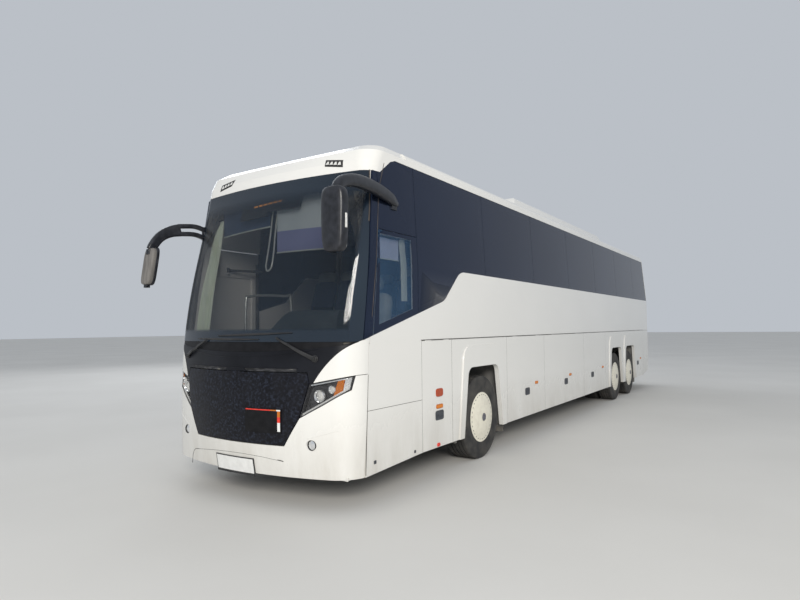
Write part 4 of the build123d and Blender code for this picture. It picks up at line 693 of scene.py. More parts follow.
for side, way in (("left", 1), ("right", -1)):
    bm = bmesh.new()
    skin_patch(bm, LAMP_LOW, LAMP_TOP, 24, 8, 0.0005, 0.003, way)
    lens = finished_piece(f"headlight_lens_{side}", bm, lamp_clear, "body", 60.0)
    bm = bmesh.new()
    skin_patch(bm, LAMP_LOW, LAMP_TOP, 24, 8, 0.050, 0.003, way)
    for low, high in ((LAMP_LOW, shifted(LAMP_LOW, -0.0015, 0.006)),
                      (shifted(LAMP_TOP, 0.001, -0.006), LAMP_TOP),
                      ([LAMP_LOW[0], LAMP_TOP[0]], [(0.794, 0.858), (0.880, 1.158)]),
                      ([(1.205, 1.108), (1.224, 1.231)], [LAMP_LOW[-1], LAMP_TOP[-1]])):
        skin_patch(bm, low, high, 16, 1, 0.0036, 0.048, way)
    bowl = finished_piece(f"headlight_bowl_{side}", bm, lamp_bowl, "body", 40.0)
    bm = bmesh.new()
    skin_patch(bm, shifted(LAMP_LOW, -0.002, 0.008), shifted(LAMP_LOW, -0.004, 0.026), 24, 1,
               0.016, 0.012, way)
    skin_patch(bm, shifted(LAMP_TOP, 0, -0.018), shifted(LAMP_TOP, 0, -0.007), 24, 1, 0.016, 0.012, way)
    skin_patch(bm, [(1.156, 1.084), (1.174, 1.211)], [(1.204, 1.112), (1.222, 1.222)], 6, 3,
               0.014, 0.012, way)
    for centre, size in PROJECTORS:
        y = nose_y(*centre) + PROJECTOR_DEPTH
        ring = [(0.0, size * 0.72), (0.010, size * 0.80), (0.024, size), (0.027, size * 1.03),
                (0.024, size * 1.06), (0.0, size * 1.06)]
        turned_forward(bm, ring, (way * centre[0], y, centre[1]))
    band = finished_piece(f"headlight_silver_{side}", bm, lamp_silver, "body", 40.0)
    bm = bmesh.new()
    for centre, size in PROJECTORS:
        y = nose_y(*centre) + PROJECTOR_DEPTH
        turns = [0.02 + i * (pi / 2 - 0.02) / 8 for i in range(9)]
        dome = [(0.004 + size * 0.34 * cos(a), size * 0.74 * sin(a)) for a in turns]
        turned_forward(bm, [(0.002, 0.0005)] + dome + [(0.002, size * 0.74)],
                       (way * centre[0], y, centre[1]))
    glass = finished_piece(f"headlight_projector_{side}", bm, lamp_white, "body", 60.0)
    bm = bmesh.new()
    skin_patch(bm, [(1.078, 1.048), (1.120, 1.072), (1.150, 1.092)],
               [(1.116, 1.190), (1.140, 1.196), (1.166, 1.204)], 10, 6, 0.018, 0.012, way)
    amber = finished_piece(f"headlight_amber_{side}", bm, amber_lens, "body", 60.0)
    bm = bmesh.new()
    box_into(bm, (-0.0065, -0.0045, -0.0055), (0.0065, 0.004, 0.0055))
    bmesh.ops.bevel(bm, geom=bm.edges[:], offset=0.0018, segments=2, affect="EDGES")
    cell = finished_piece("lamp_cell", bm, lamp_white, None)
    cells = []
    for i in range(SMALL_LAMPS):
        p = along(shifted(LAMP_LOW, -0.003, 0.017), 0.03 + i * SMALL_LAMP_STEP)
        cells.append((way * p.x, nose_y(p.x, p.y) + 0.014, p.y))
    row = repeated_at(f"headlight_cells_{side}", cell, cells, lamp_white)
    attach(row, "body")
    bm = bmesh.new()
    centre = (way * FOG_LAMP[0], nose_y(*FOG_LAMP), FOG_LAMP[1])
    turned_forward(bm, [(-0.030, 0.045), (-0.004, 0.045), (-0.001, 0.0485), (-0.012, 0.0485),
                        (-0.030, 0.047)], centre)
    fog_ring = finished_piece(f"fog_lamp_ring_{side}", bm, gasket_black, "body")
    bm = bmesh.new()
    turned_forward(bm, [(-0.030, 0.0005), (-0.0035, 0.0005), (-0.0045, 0.020), (-0.0075, 0.036),
                        (-0.011, 0.0445), (-0.030, 0.0445)], centre)
    fog = finished_piece(f"fog_lamp_{side}", bm, lamp_silver, "body")
    if side == "right":
        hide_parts("headlights")

# Mirrors: the driver's arm is one broad moulded blade like a horn, from the pillar over the screen's
# corner. The other is a boxy casting on two bars, and its dusty head leans outwards at the foot.
ARM_LINES = {
    "left": [(1.235, -5.700, 2.935), (1.262, -5.830, 2.968), (1.290, -6.050, 3.000), (1.325, -6.300, 3.010),
             (1.355, -6.505, 3.000), (1.380, -6.688, 2.965), (1.397, -6.810, 2.905), (1.404, -6.880, 2.800)],
    "right": [(-1.345, -6.395, 2.838), (-1.375, -6.490, 2.812), (-1.395, -6.580, 2.765),
              (-1.404, -6.650, 2.700), (-1.408, -6.715, 2.600), (-1.412, -6.730, 2.520)]}
# Columns: half height and half width of the arm at each of its points.
ARM_SIZES = {
    "left": [(0.030, 0.030), (0.056, 0.040), (0.062, 0.045), (0.063, 0.047), (0.060, 0.048), (0.056, 0.048),
             (0.050, 0.045), (0.040, 0.040)],
    "right": [(0.074, 0.030), (0.066, 0.031), (0.060, 0.032), (0.055, 0.033), (0.052, 0.034),
              (0.045, 0.034)]}

HEAD_MIDDLE = {"left": (1.404, -6.8875, 2.592), "right": (-1.4255, -6.730, 2.390)}
# How far the door side's head leans inwards and rearwards per metre of height.
DOOR_SIDE_LEAN = (0.10, 0.09)


def smooth_line(points, per_span=6):
    """A Catmull-Rom line through points of any dimension."""
    points = [Vector(p) for p in points]
    ends = [points[0] * 2 - points[1]] + points + [points[-1] * 2 - points[-2]]
    line = []
    for a, b, c, d in zip(ends, ends[1:], ends[2:], ends[3:]):
        for k in range(per_span):
            t = k / per_span
            line.append(0.5 * ((2 * b) + (c - a) * t + (2 * a - 5 * b + 4 * c - d) * t ** 2
                               + (3 * b - a - 3 * c + d) * t ** 3))
    return line + [points[-1]]


def corner_round(angle, square):
    """A point of a rounded square of half size 1: square 2 is a circle, more is boxier."""
    c, s = cos(angle), sin(angle)
    return abs(c) ** (2 / square) * (1 if c >= 0 else -1), abs(s) ** (2 / square) * (1 if s >= 0 else -1)


def swept_tube(bm, path, sizes, sides=20, square=2.0):
    """A closed tube along a line of points; sizes are (half height, half width) at each point."""
    rings = []
    for i, p in enumerate(path):
        along_path = path[min(i + 1, len(path) - 1)] - path[max(i - 1, 0)]
        along_path.normalize()
        wide_way = along_path.cross(Vector((0, 0, 1)))
        if wide_way.length < 0.2:
            wide_way = Vector((1, 0, 0))
        wide_way.normalize()
        high_way = wide_way.cross(along_path)
        high, wide = sizes[i][0], sizes[i][1]
        ring = []
        for k in range(sides):
            u, v = corner_round(2 * pi * k / sides, square)
            ring.append(bm.verts.new(p + wide_way * wide * u + high_way * high * v))
        rings.append(ring)
    join_rings(bm, rings)


def even_tube(bm, path, size, sides=20, square=2.0):
    """A closed tube with one (half height, half width) all along its path."""
    swept_tube(bm, path, [size] * len(path), sides, square)


def mirror_head(bm, centre, wide, high, layers, taper=0.0, lean=(0, 0), square=4.5, count=48):
    """A leaning head from rounded front-view outlines, each at (distance along Y, amount drawn in)."""
    rings = []
    for out, inset in layers:
        ring = []
        for k in range(count):
            u, v = corner_round(2 * pi * k / count, square)
            z = v * (high - inset)
            x = u * (wide * (1 + taper * v) - inset) + lean[0] * z
            ring.append(bm.verts.new((centre[0] + x, centre[1] + out + lean[1] * z, centre[2] + z)))
        rings.append(ring)
    join_rings(bm, rings)


mirror_black, tree, shader = mottled_finish("mirror_moulding_black", 22.0, 6.0, 0.34,
                                            [(0.35, (0.006, 0.007, 0.010)), (0.75, (0.022, 0.024, 0.032))])
raised(tree, shader, grain(tree, 380.0, 2.0), 0.3, 0.0006)
mirror_dust, tree, shader = mottled_finish("dusty_mirror_casing", 9.0, 5.0, 0.75,
                                           [(0.3, (0.11, 0.105, 0.10)), (0.75, (0.24, 0.225, 0.21))],
                                           stretch=(3, 1, 0.4))
raised(tree, shader, grain(tree, 60.0, 3.0), 0.3, 0.002)
mirror_glass, tree, shader = mottled_finish("silvered_mirror_glass", 4.0, 3.0, 0.03,
                                            [(0.2, (0.78, 0.80, 0.82)), (0.8, (0.86, 0.88, 0.90))])
shader.inputs["Metallic"].default_value = 1.0

bm = bmesh.new()
swept_tube(bm, smooth_line(ARM_LINES["left"]),
           smooth_line([(a, b, 0) for a, b in ARM_SIZES["left"]]), 28, 2.6)
mirror_head(bm, HEAD_MIDDLE["left"], 0.118, 0.280,
            [(0.0400, 0.016), (0.0475, 0.012), (0.0475, 0.003), (0.0380, 0.0), (-0.0180, 0.0),
             (-0.0330, 0.006), (-0.0420, 0.018), (-0.0445, 0.030), (-0.0475, 0.034), (-0.0475, 0.080)], 0.06)
box_into(bm, (1.222, -5.800, 2.870), (1.258, -5.712, 2.985))
arm = finished_piece("mirror_arm_left", bm, mirror_black, "body", 45.0)
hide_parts("mirrors")

bm = bmesh.new()
swept_tube(bm, smooth_line(ARM_LINES["right"]),
           smooth_line([(a, b, 0) for a, b in ARM_SIZES["right"]]), 28, 4.0)
for rise in (-0.050, 0.050):
    bar = smooth_line([(-1.236, -6.090, 2.800 + rise), (-1.290, -6.231, 2.847 + rise * 0.95),
                       (-1.345, -6.400, 2.838 + rise * 0.9)])
    even_tube(bm, bar, (0.027, 0.030), 20, 4.0)
box_into(bm, (-1.268, -6.150, 2.735), (-1.222, -6.055, 2.895))
mirror_head(bm, HEAD_MIDDLE["right"], 0.092, 0.214,
            [(0.036, 0.012), (0.042, 0.008), (0.042, 0.0), (0.020, 0.0), (0.012, 0.004)], 0.0,
            DOOR_SIDE_LEAN)
box_into(bm, (-1.482, -6.765, 2.150), (-1.430, -6.720, 2.192))
arm = finished_piece("mirror_arm_right", bm, mirror_black, "body", 45.0)
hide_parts("mirrors")
bm = bmesh.new()
mirror_head(bm, (-1.426, -6.730, 2.390), 0.086, 0.206,
            [(0.013, 0.002), (-0.020, 0.0), (-0.034, 0.006), (-0.040, 0.018), (-0.042, 0.05)], 0.0,
            DOOR_SIDE_LEAN)
casing = finished_piece("mirror_casing_right", bm, mirror_dust, "body", 45.0)

# The driver's head has a large flat glass over a small wide-angle one; the other has them the other way
# round.
# Columns: side, centre, half width, low and high end, lean with height.
MIRROR_GLASSES = [("left", 1.404, -6.838, 0.098, ((2.345, 2.485), (2.505, 2.845)), (0, 0)),
                  ("right", -1.429, -6.686, 0.076, ((2.205, 2.425), (2.440, 2.575)), DOOR_SIDE_LEAN)]
for side, x, y, wide, spans, lean in MIRROR_GLASSES:
    bm = bmesh.new()
    for low, top in spans:
        mid, half = (low + top) / 2, (top - low) / 2
        shift = mid - HEAD_MIDDLE[side][2]
        mirror_head(bm, (x + lean[0] * shift, y + lean[1] * shift, mid), wide, half,
                    [(0.0, 0.0), (0.003, 0.0), (0.0042, 0.003)], 0.0, lean, 6.0, 40)
    glass = finished_piece(f"mirror_glass_{side}", bm, mirror_glass, "body")
bm = bmesh.new()
mirror_head(bm, (1.5215, -6.872, 2.572), 0.006, 0.062,
            [(-0.012, 0.002), (-0.008, 0.0), (0.008, 0.0), (0.012, 0.002)])
repeater = finished_piece("mirror_repeater_left", bm, lamp_white, "body")

# Wipers: black sprung arms from the pivots in the wiper panel, each with a slimmer rod at its end that
# carries a jointed blade with a rubber lip. Both lie parked low across the screen.
WIPER_PIVOTS = {"left": (0.912, 1.394), "right": (-0.912, 1.394)}
# Columns: side, arm's end, blade's low end, blade's high end, all (x, z) in the front view.
WIPERS = [("left", (0.503, 1.590), (-0.306, 1.608), (0.666, 1.635)),
          ("right", (-0.503, 1.566), (0.290, 1.572), (-0.690, 1.578))]
for side, arm_end, low_end, high_end in WIPERS:
    bm = bmesh.new()
    pivot = WIPER_PIVOTS[side]
    arm_line = []
    for k in range(9):
        t = k / 8
        x, z = pivot[0] + (arm_end[0] - pivot[0]) * t, pivot[1] + (arm_end[1] - pivot[1]) * t
        arm_line.append(Vector((x, nose_y(x, z) - 0.018 - 0.012 * sin(pi * t), z)))
    swept_tube(bm, arm_line, [(0.020 - 0.012 * t / 8, 0.010 - 0.004 * t / 8) for t in range(9)], 12, 4.0)
    blade_line = []
    for k in range(17):
        t = k / 16
        x, z = low_end[0] + (high_end[0] - low_end[0]) * t, low_end[1] + (high_end[1] - low_end[1]) * t
        blade_line.append(Vector((x, nose_y(x, z) - 0.010, z)))
    swept_tube(bm, blade_line, [(0.004 + 0.007 * sin(pi * t / 16), 0.006) for t in range(17)], 10, 3.0)
    even_tube(bm, [p + Vector((0, 0.006, 0)) for p in blade_line], (0.0025, 0.005), 8)
    pivot_y = nose_y(*pivot)
    for depth, radius in ((0.006, 0.034), (-0.010, 0.030), (-0.024, 0.017)):
        turned_forward(bm, [(0.0, 0.0), (0.0, radius), (0.009, radius), (0.012, radius - 0.004),
                            (0.012, 0.0)],
                       (pivot[0], pivot_y + depth, pivot[1]))
    wiper = finished_piece(f"wiper_{side}", bm, satin_black, "body", 40.0)
    if side == "left":
        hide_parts("wipers")

# Front fittings: a blank plate in a black holder on the bumper, a blank sign board on the lid with
# coloured edge strips, the air slot over the lid as a flat patch of painted shade and painted pale glints,
# with a latch notch in its middle, and the fold of the wiper panel.
plate_white, tree, shader = mottled_finish("blank_plate_white", 20.0, 3.0, 0.35,
                                           [(0.3, (0.74, 0.74, 0.72)), (0.7, (0.84, 0.84, 0.82))])
signal_red, tree, shader = mottled_finish("signal_red_film", 60.0, 2.0, 0.3,
                                          [(0.3, (0.62, 0.03, 0.02)), (0.7, (0.80, 0.05, 0.03))])
# The air slot's colour: painted shade of its recess, with pale painted glints scattered in it.
air_slot_painted_shade_and_glints, tree, shader = mottled_finish("air_slot_shade_and_glints", 14.0, 4.0, 0.6,
                                          [(0.4, (0.004, 0.004, 0.005)), (0.66, (0.05, 0.05, 0.055)),
                                           (0.76, (0.22, 0.21, 0.17))], stretch=(1, 1, 3))


def nose_rect(bm, low, high, depth, thickness, columns=16, rows=3):
    """A patch on the nose between two corners (x, z)."""
    skin_patch(bm, [low, (high[0], low[1])], [(low[0], high[1]), high], columns, rows, depth, thickness)


def nose_piece(name, rects, finish, depth, thickness):
    bm = bmesh.new()
    for low, high in rects:
        nose_rect(bm, low, high, depth, thickness)
    piece = finished_piece(name, bm, finish, "body", 40.0)
    return piece


nose_piece("plate_holder", [((-0.274, 0.268), (0.264, 0.440))], satin_black, -0.008, 0.007)
nose_piece("blank_plate", [((-0.262, 0.292), (0.252, 0.430))], plate_white, -0.0105, 0.003)


def nose_line(bm, points, thick, proud=0.0, way=1, sides=8):
    """A thin rib along points (x, z) of the front view, laid on the nose."""
    line = [Vector((way * p.x, nose_y(p.x, p.y) - proud, p.y)) for p in smooth_line(points)]
    even_tube(bm, line, (thick, thick), sides)


bm = bmesh.new()
nose_line(bm, [(-0.806, 0.255), (-0.797, 0.300), (-0.775, 0.352), (-0.735, 0.400), (-0.690, 0.421),
               (-0.62, 0.430)],
          0.0026)
nose_line(bm, [(-0.62, 0.430), (-0.30, 0.462), (0.053, 0.476), (0.35, 0.466), (0.50, 0.451), (0.572, 0.447)],
          0.0016)
nose_line(bm, [(0.540, 0.4505), (0.575, 0.446), (0.602, 0.441)], 0.0042)
cover_seam = finished_piece("plate_cover_seam", bm, gasket_black, "body")
bm = bmesh.new()
for way in (1, -1):
    nose_line(bm, [(0.850, 0.664), (0.894, 0.674), (0.990, 0.702), (1.060, 0.724), (1.130, 0.744)],
              0.0035, 0.0, way)
crease = finished_piece("bumper_creases", bm, body_white, "body")

board_black, tree, shader = mottled_finish("blank_board_black", 16.0, 4.0, 0.5,
                                           [(0.3, (0.004, 0.004, 0.005)), (0.75, (0.010, 0.010, 0.012))])
shader.inputs["Specular IOR Level"].default_value = 0.2
board = nose_piece("blank_sign_board", [((0.188, 0.700), (0.604, 0.926))], board_black,
                   -0.0095, 0.008)
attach(board, "front_lid")
red_edge = nose_piece("sign_edge_red",
                      [((0.200, 0.9085), (0.490, 0.9185)), ((0.566, 0.800), (0.594, 0.852))], signal_red,
                      -0.0115, 0.003)
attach(red_edge, "front_lid")
amber_edge = nose_piece("sign_edge_amber",
                        [((0.490, 0.9085), (0.556, 0.9185)), ((0.566, 0.852), (0.594, 0.906))], amber_lens,
                        -0.0115, 0.003)
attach(amber_edge, "front_lid")
white_edge = nose_piece("sign_edge_white",
                        [((0.566, 0.718), (0.594, 0.800)), ((0.556, 0.9065), (0.596, 0.9195))], plate_white,
                        -0.0115, 0.003)
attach(white_edge, "front_lid")

# A flat patch in place of the slot's recess, carrying its painted shade and glints.
nose_piece("air_slot", [((-0.78, 1.2725), (0.74, 1.3000))], air_slot_painted_shade_and_glints, -0.0008, 0.0015)
nose_piece("air_slot_lip", [((-0.79, 1.3000), (0.75, 1.3065))], mask_black, -0.0060, 0.0065)
bm = bmesh.new()
skin_patch(bm, [(-0.135, 1.2715), (0.175, 1.2715)], [(-0.085, 1.3060), (0.130, 1.3060)], 12, 3,
           -0.0085, 0.0080)
notch = finished_piece("lid_latch_notch", bm, mask_black, "body", 40.0)
bm = bmesh.new()
nose_line(bm, [(-0.93, 1.478), (-0.60, 1.432), (-0.32, 1.408), (0.0, 1.402), (0.32, 1.408), (0.60, 1.432),
               (0.93, 1.478)],
          0.0045, -0.001)
fold = finished_piece("wiper_panel_fold", bm, mask_black, "body")

# Roof marker lamps: a dark slanted lens window at each top corner of the white cap, with four small white
# lamps in it.
MARKER_LAMPS = 4
MARKER_STEP = (0.050, -0.0082)
for side, way in (("left", 1), ("right", -1)):
    bm = bmesh.new()
    skin_patch(bm, [(0.697, 3.308), (0.918, 3.272)], [(0.680, 3.388), (0.905, 3.352)], 12, 4,
               -0.0015, 0.004, way)
    window = finished_piece(f"marker_window_{side}", bm, gasket_black, "body", 40.0)
    bm = bmesh.new()
    for k in range(MARKER_LAMPS):
        x = 0.722 + k * MARKER_STEP[0]
        z = 3.345 + k * MARKER_STEP[1]
        low = [(x - 0.020, z - 0.017), (x + 0.020, z - 0.020)]
        high = [(x - 0.007, z + 0.017), (x + 0.009, z + 0.015)]
        skin_patch(bm, low, high, 3, 3, -0.0045, 0.0035, way)
    cells = finished_piece(f"marker_lamps_{side}", bm, lamp_white, "body", 40.0)

# Side fittings: flush latches, amber side lamps and reflectors on the flaps and skirts, and black rubber
# strips in the seams. What sits on a flap rides on it.
SIDE_X = 1.275
SEAM_YS = [-5.292, -4.622, -3.030, -1.535, 0.631, 2.205, 5.095, 6.055]
PANE_SEAM_YS = [-5.340, -3.655, -1.905, -0.155, 1.595, 3.345, 5.095]
latch_grey, tree, shader = mottled_finish("latch_grey_plastic", 30.0, 3.0, 0.5,
                                          [(0.3, (0.030, 0.034, 0.042)), (0.7, (0.060, 0.066, 0.078))])
reflector_red, tree, shader = new_finish("orange_red_reflector")
prisms = tree.nodes.new("ShaderNodeTexVoronoi")
prisms.inputs["Scale"].default_value = 160.0
where = tree.nodes.new("ShaderNodeTexCoord")
tree.links.new(where.outputs["Object"], prisms.inputs["Vector"])
tree.links.new(ramp(tree, prisms.outputs["Distance"],
                    [(0.1, (0.62, 0.10, 0.02)), (0.7, (0.30, 0.035, 0.008))]),
               shader.inputs["Base Color"])
shader.inputs["Roughness"].default_value = 0.18
raised(tree, shader, prisms.outputs["Distance"], 0.4, 0.001)


def flank_boss(bm, way, y, z, wide, high, layers, square=6.0, count=32):
    """A rounded square on the side: layers are (distance out from the skin, amount drawn in)."""
    rings = []
    for out, inset in layers:
        ring = []
        for k in range(count):
            u, v = corner_round(2 * pi * k / count, square)
            ring.append(bm.verts.new((way * (SIDE_X + out), y + u * (wide / 2 - inset),
                                      z + v * (high / 2 - inset))))
        rings.append(ring)
    join_rings(bm, rings)


LATCH_LAYERS = [(-0.002, 0.004), (0.0025, 0.0), (0.0045, 0.0015), (0.0045, 0.009), (0.0012, 0.013),
                (0.0012, 0.02)]
LENS_LAYERS = [(0.0003, 0.0), (0.0070, 0.001), (0.0095, 0.006), (0.0100, 0.012)]
# Columns: name, side, y, z, width, height, layers, finish, slot, body it rides on.
FITTINGS = [
    ("service_latch", 1, -4.925, 0.694, 0.185, 0.107, LATCH_LAYERS, latch_grey, "black_plastic",
     "service_flap_left"),
    ("service_reflector", 1, -4.925, 0.945, 0.155, 0.092, LENS_LAYERS, reflector_red, "red_lens",
     "service_flap_left"),
    ("service_side_lamp", 1, -4.925, 0.792, 0.145, 0.048, LENS_LAYERS, amber_lens, "lamp_lens",
     "service_flap_left"),
    ("skirt_reflector", 1, -4.955, 0.372, 0.062, 0.040, LENS_LAYERS, signal_red, "red_lens",
     "service_flap_left"),
    ("skirt_lock_front", 1, -6.154, 0.412, 0.040, 0.034, LATCH_LAYERS, latch_grey, "black_plastic", "body"),
    ("skirt_lock_rear", 1, -5.448, 0.384, 0.034, 0.030, LATCH_LAYERS, latch_grey, "black_plastic", "body")]
# Columns: flap, side, latch y, lamp y.
FLAP_LATCHES = [("luggage_flap_left_1", 1, -2.285, -1.905), ("luggage_flap_left_2", 1, -0.465, -0.225),
                ("luggage_flap_left_3", 1, 1.185, 1.955), ("luggage_flap_right_1", -1, -2.285, -1.905),
                ("luggage_flap_right_2", -1, -0.465, -0.225), ("rear_service_door_left", 1, 5.360, 5.695),
                ("rear_service_door_right", -1, 5.360, 5.695)]
for flap, way, latch_y, lamp_y in FLAP_LATCHES:
    FITTINGS += [(flap + "_latch", way, latch_y, 0.705, 0.180, 0.107, LATCH_LAYERS, latch_grey,
                  "black_plastic", flap),
                 (flap + "_side_lamp", way, lamp_y, 0.806, 0.120, 0.045, LENS_LAYERS, amber_lens,
                  "lamp_lens", flap)]
for name, way, y, z, wide, high, layers, finish, slot_name, body in FITTINGS:
    bm = bmesh.new()
    flank_boss(bm, way, y, z, wide, high, layers, 4.0 if "reflector" in name else 6.0)
    if "latch" in name:
        box_into(bm, (way * (SIDE_X + 0.001), y - 0.030, z - 0.010),
                 (way * (SIDE_X + 0.0042), y + 0.030, z + 0.010))
    fitting = finished_piece(name, bm, finish, body, 40.0)

side_skin = skin_of("left_side_panel", "left_windows", "lower_side_panels", "roof_shell", "windscreen",
                    "front_bumper", "service_flap_left", "luggage_flap_left_1", "luggage_flap_left_2",
                    "luggage_flap_left_3", "rear_service_door_left")


def flank_x(y, z):
    """How far out the coach's left side lies at this place; the right side is its mirror image."""
    for dy, dz in ((0, 0), (0.010, 0), (-0.010, 0), (0, 0.010), (0, -0.010)):
        hit = side_skin.ray_cast(Vector((4.0, y + dy, z + dz)), Vector((-1, 0, 0)))[0]
        if hit and hit.x > 1.0:
            return hit.x
    return SIDE_X


def flank_line(bm, points, half_wide, half_high, proud=0.0, way=1, step=0.25):
    """A thin strip along straight runs of (y, z) points, laid on the side."""
    line = []
    for (y0, z0), (y1, z1) in zip(points, points[1:]):
        count = max(1, int(sqrt((y1 - y0) ** 2 + (z1 - z0) ** 2) / step))
        line += [(y0 + (y1 - y0) * k / count, z0 + (z1 - z0) * k / count) for k in range(count)]
    line.append(points[-1])
    path = [Vector((way * (flank_x(y, z) + proud), y, z)) for y, z in line]
    even_tube(bm, path, (half_high, half_wide), 6, 8.0)


seam_rubber, tree, shader = mottled_finish("seam_rubber", 9.0, 4.0, 0.8,
                                           [(0.3, (0.05, 0.048, 0.045)), (0.7, (0.13, 0.12, 0.105))])
pane_seam, tree, shader = mottled_finish("pane_seam_dusty", 6.0, 4.0, 0.8,
                                         [(0.3, (0.045, 0.038, 0.032)), (0.7, (0.11, 0.092, 0.078))])
for side, way in (("left", 1), ("right", -1)):
    bm = bmesh.new()
    for y in SEAM_YS:
        if way < 0 and y in SEAM_YS[:2]:
            continue
        box_into(bm, (way * 1.262, y - 0.0024, 0.350), (way * 1.2746, y + 0.0024, 1.526))
    front = SEAM_YS[0] if way > 0 else SEAM_YS[1]
    box_into(bm, (way * 1.2752, front, 1.5340), (way * 1.2775, 6.055 if way > 0 else 0.70, 1.5400))
    if way < 0:
        box_into(bm, (way * 1.2752, 1.58, 1.5340), (way * 1.2775, 6.055, 1.5400))
    flank_line(bm, [(-6.297, 0.315), (-6.250, 1.235)], 0.0024, 0.0030, -0.0006, way)
    if way > 0:
        box_into(bm, (1.262, -6.250, 0.8978), (1.2747, -5.300, 0.9022))
        box_into(bm, (1.2752, -5.3, 1.5340), (1.2778, -4.62, 1.5410))
    strips = finished_piece(f"seam_strips_{side}", bm, seam_rubber, "body")
    bm = bmesh.new()
    for y in PANE_SEAM_YS:
        if way < 0 and y < -5.0:
            continue
        flank_line(bm, [(y, 2.352 if y > -4.0 else 2.345), (y, 3.385)], 0.0022, 0.0032, 0.0006, way)
    if way > 0:
        flank_line(bm, [(-5.340, 1.90), (-5.340, 2.345)], 0.0022, 0.0032, 0.0006, way)
        flank_line(bm, [(-6.030, 2.640), (-5.345, 2.640)], 0.0022, 0.0032, 0.0006, way)
        flank_line(bm, [(-6.175, 1.78), (-5.963, 3.30)], 0.0022, 0.0032, 0.0006, way)
    panes = finished_piece(f"pane_seams_{side}", bm, pane_seam, "body")

# Driver's window: a clear pane in the black band, with a pale roller blind half drawn behind it and a
# light pillar trim at its rear. The other panes of this side stay dark.
pane_mesh = bmesh.new()
pane_mesh.from_mesh(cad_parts["left_windows"].data)
bmesh.ops.remove_doubles(pane_mesh, verts=pane_mesh.verts, dist=1e-5)
driver_mesh = pane_mesh.copy()
for mesh_part, keep_driver in ((pane_mesh, False), (driver_mesh, True)):
    unseen = set(mesh_part.verts)
    while unseen:
        island, front = set(), [unseen.pop()]
        while front:
            v = front.pop()
            island.add(v)
            for edge in v.link_edges:
                other = edge.other_vert(v)
                if other in unseen:
                    unseen.discard(other)
                    front.append(other)
        is_driver = max(v.co.z for v in island) < 2.66 and max(v.co.y for v in island) < -5.2
        if is_driver != keep_driver:
            bmesh.ops.delete(mesh_part, geom=list(island), context="VERTS")
side_panes = finished_piece("side_panes_left", pane_mesh, side_tint, "body", 30.0)
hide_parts("left_windows")
driver_glass, tree, shader = mottled_finish("drivers_window_glass", 1.3, 2.0, 0.03,
                                            [(0.3, (0.018, 0.065, 0.14)), (0.7, (0.032, 0.095, 0.19))])
shader.inputs["Alpha"].default_value = 0.34
driver_pane = finished_piece("drivers_pane", driver_mesh, driver_glass, "body", 30.0)


def cloth(name, scale, dark, light, rough=0.9):
    """Woven cloth: fine threads over soft lighter and darker patches."""
    finish, tree, shader = mottled_finish(name, scale, 4.0, rough,
                                          [(0.3, dark), (0.7, light)])
    raised(tree, shader, grain(tree, 900.0, 1.0), 0.25, 0.0006)
    return finish


def thin_sheet(bm, rows_of_points, thick=0.0008):
    """A closed sheet from rows of points, with its thickness along the rows' own normal."""
    rows, columns = len(rows_of_points), len(rows_of_points[0])
    sides = []
    for k in (0, 1):
        grid = []
        for j, row in enumerate(rows_of_points):
            line = []
            for i, point in enumerate(row):
                a = row[min(i + 1, columns - 1)] - row[max(i - 1, 0)]
                b = rows_of_points[min(j + 1, rows - 1)][i] - rows_of_points[max(j - 1, 0)][i]
                line.append(bm.verts.new(point + a.cross(b).normalized() * thick * k))
            grid.append(line)
        sides.append(grid)
    close_sheet(bm, *sides)


lavender_cloth = cloth("lavender_blind_cloth", 3.0, (0.50, 0.55, 0.72), (0.62, 0.67, 0.84))
pale_trim = cloth("pale_pillar_trim", 4.0, (0.48, 0.53, 0.47), (0.60, 0.65, 0.58))
bm = bmesh.new()
even_tube(bm, [Vector((1.172, y, 2.588)) for y in (-6.00, -5.80, -5.585)], (0.017, 0.017), 16)
side_roller = finished_piece("drivers_blind_roller", bm, satin_black, "body")
bm = bmesh.new()
rows_of_points = [[Vector((1.186 + 0.012 * (2.58 - z) + 0.0012 * sin(18 * y + 3 * z), y, z)) for y in
                   [-5.995 + 0.020 * k for k in range(21)]] for z in [2.372 + 0.026 * j for j in range(9)]]
thin_sheet(bm, rows_of_points)
side_blind = finished_piece("drivers_blind", bm, lavender_cloth, "body", 60.0)
bm = bmesh.new()
even_tube(bm, [Vector((1.189, y, 2.367)) for y in (-6.000, -5.80, -5.590)], (0.006, 0.004), 10)
hem = finished_piece("drivers_blind_hem", bm, pale_trim, "body")
bm = bmesh.new()
even_tube(bm, smooth_line([(1.180, -5.520, 2.595), (1.190, -5.516, 2.45), (1.198, -5.510, 2.30),
                           (1.199, -5.505, 1.95)]), (0.052, 0.008), 12, 5.0)
pillar_trim = finished_piece("drivers_pillar_trim", bm, pale_trim, "body")

# Behind the windscreen: a dark destination box with amber lights under the roof, cloth roller blinds on
# both sides, the driver's in two shades, and a pleated curtain on the door side. The blinds hang straight
# down, and the curtain follows the slope of the pane.


def behind(x, z, depth):
    """A point behind the screen, as far in as depth."""
    return Vector((x, nose_y(x, z) + depth, z))


def hung(x, z, depth):
    """A point straight under the screen's top edge, as far in as depth."""
    return Vector((x, nose_y(x, 3.05) + depth, z))


grey_cloth = cloth("grey_blind_cloth", 2.5, (0.52, 0.60, 0.63), (0.64, 0.71, 0.73))
violet_cloth = cloth("violet_blind_cloth", 2.5, (0.22, 0.24, 0.46), (0.29, 0.31, 0.55))
navy_cloth = cloth("navy_blind_cloth", 2.5, (0.035, 0.065, 0.13), (0.07, 0.11, 0.20))
curtain_cloth = cloth("curtain_cloth", 5.0, (0.66, 0.76, 0.60), (0.80, 0.86, 0.72))
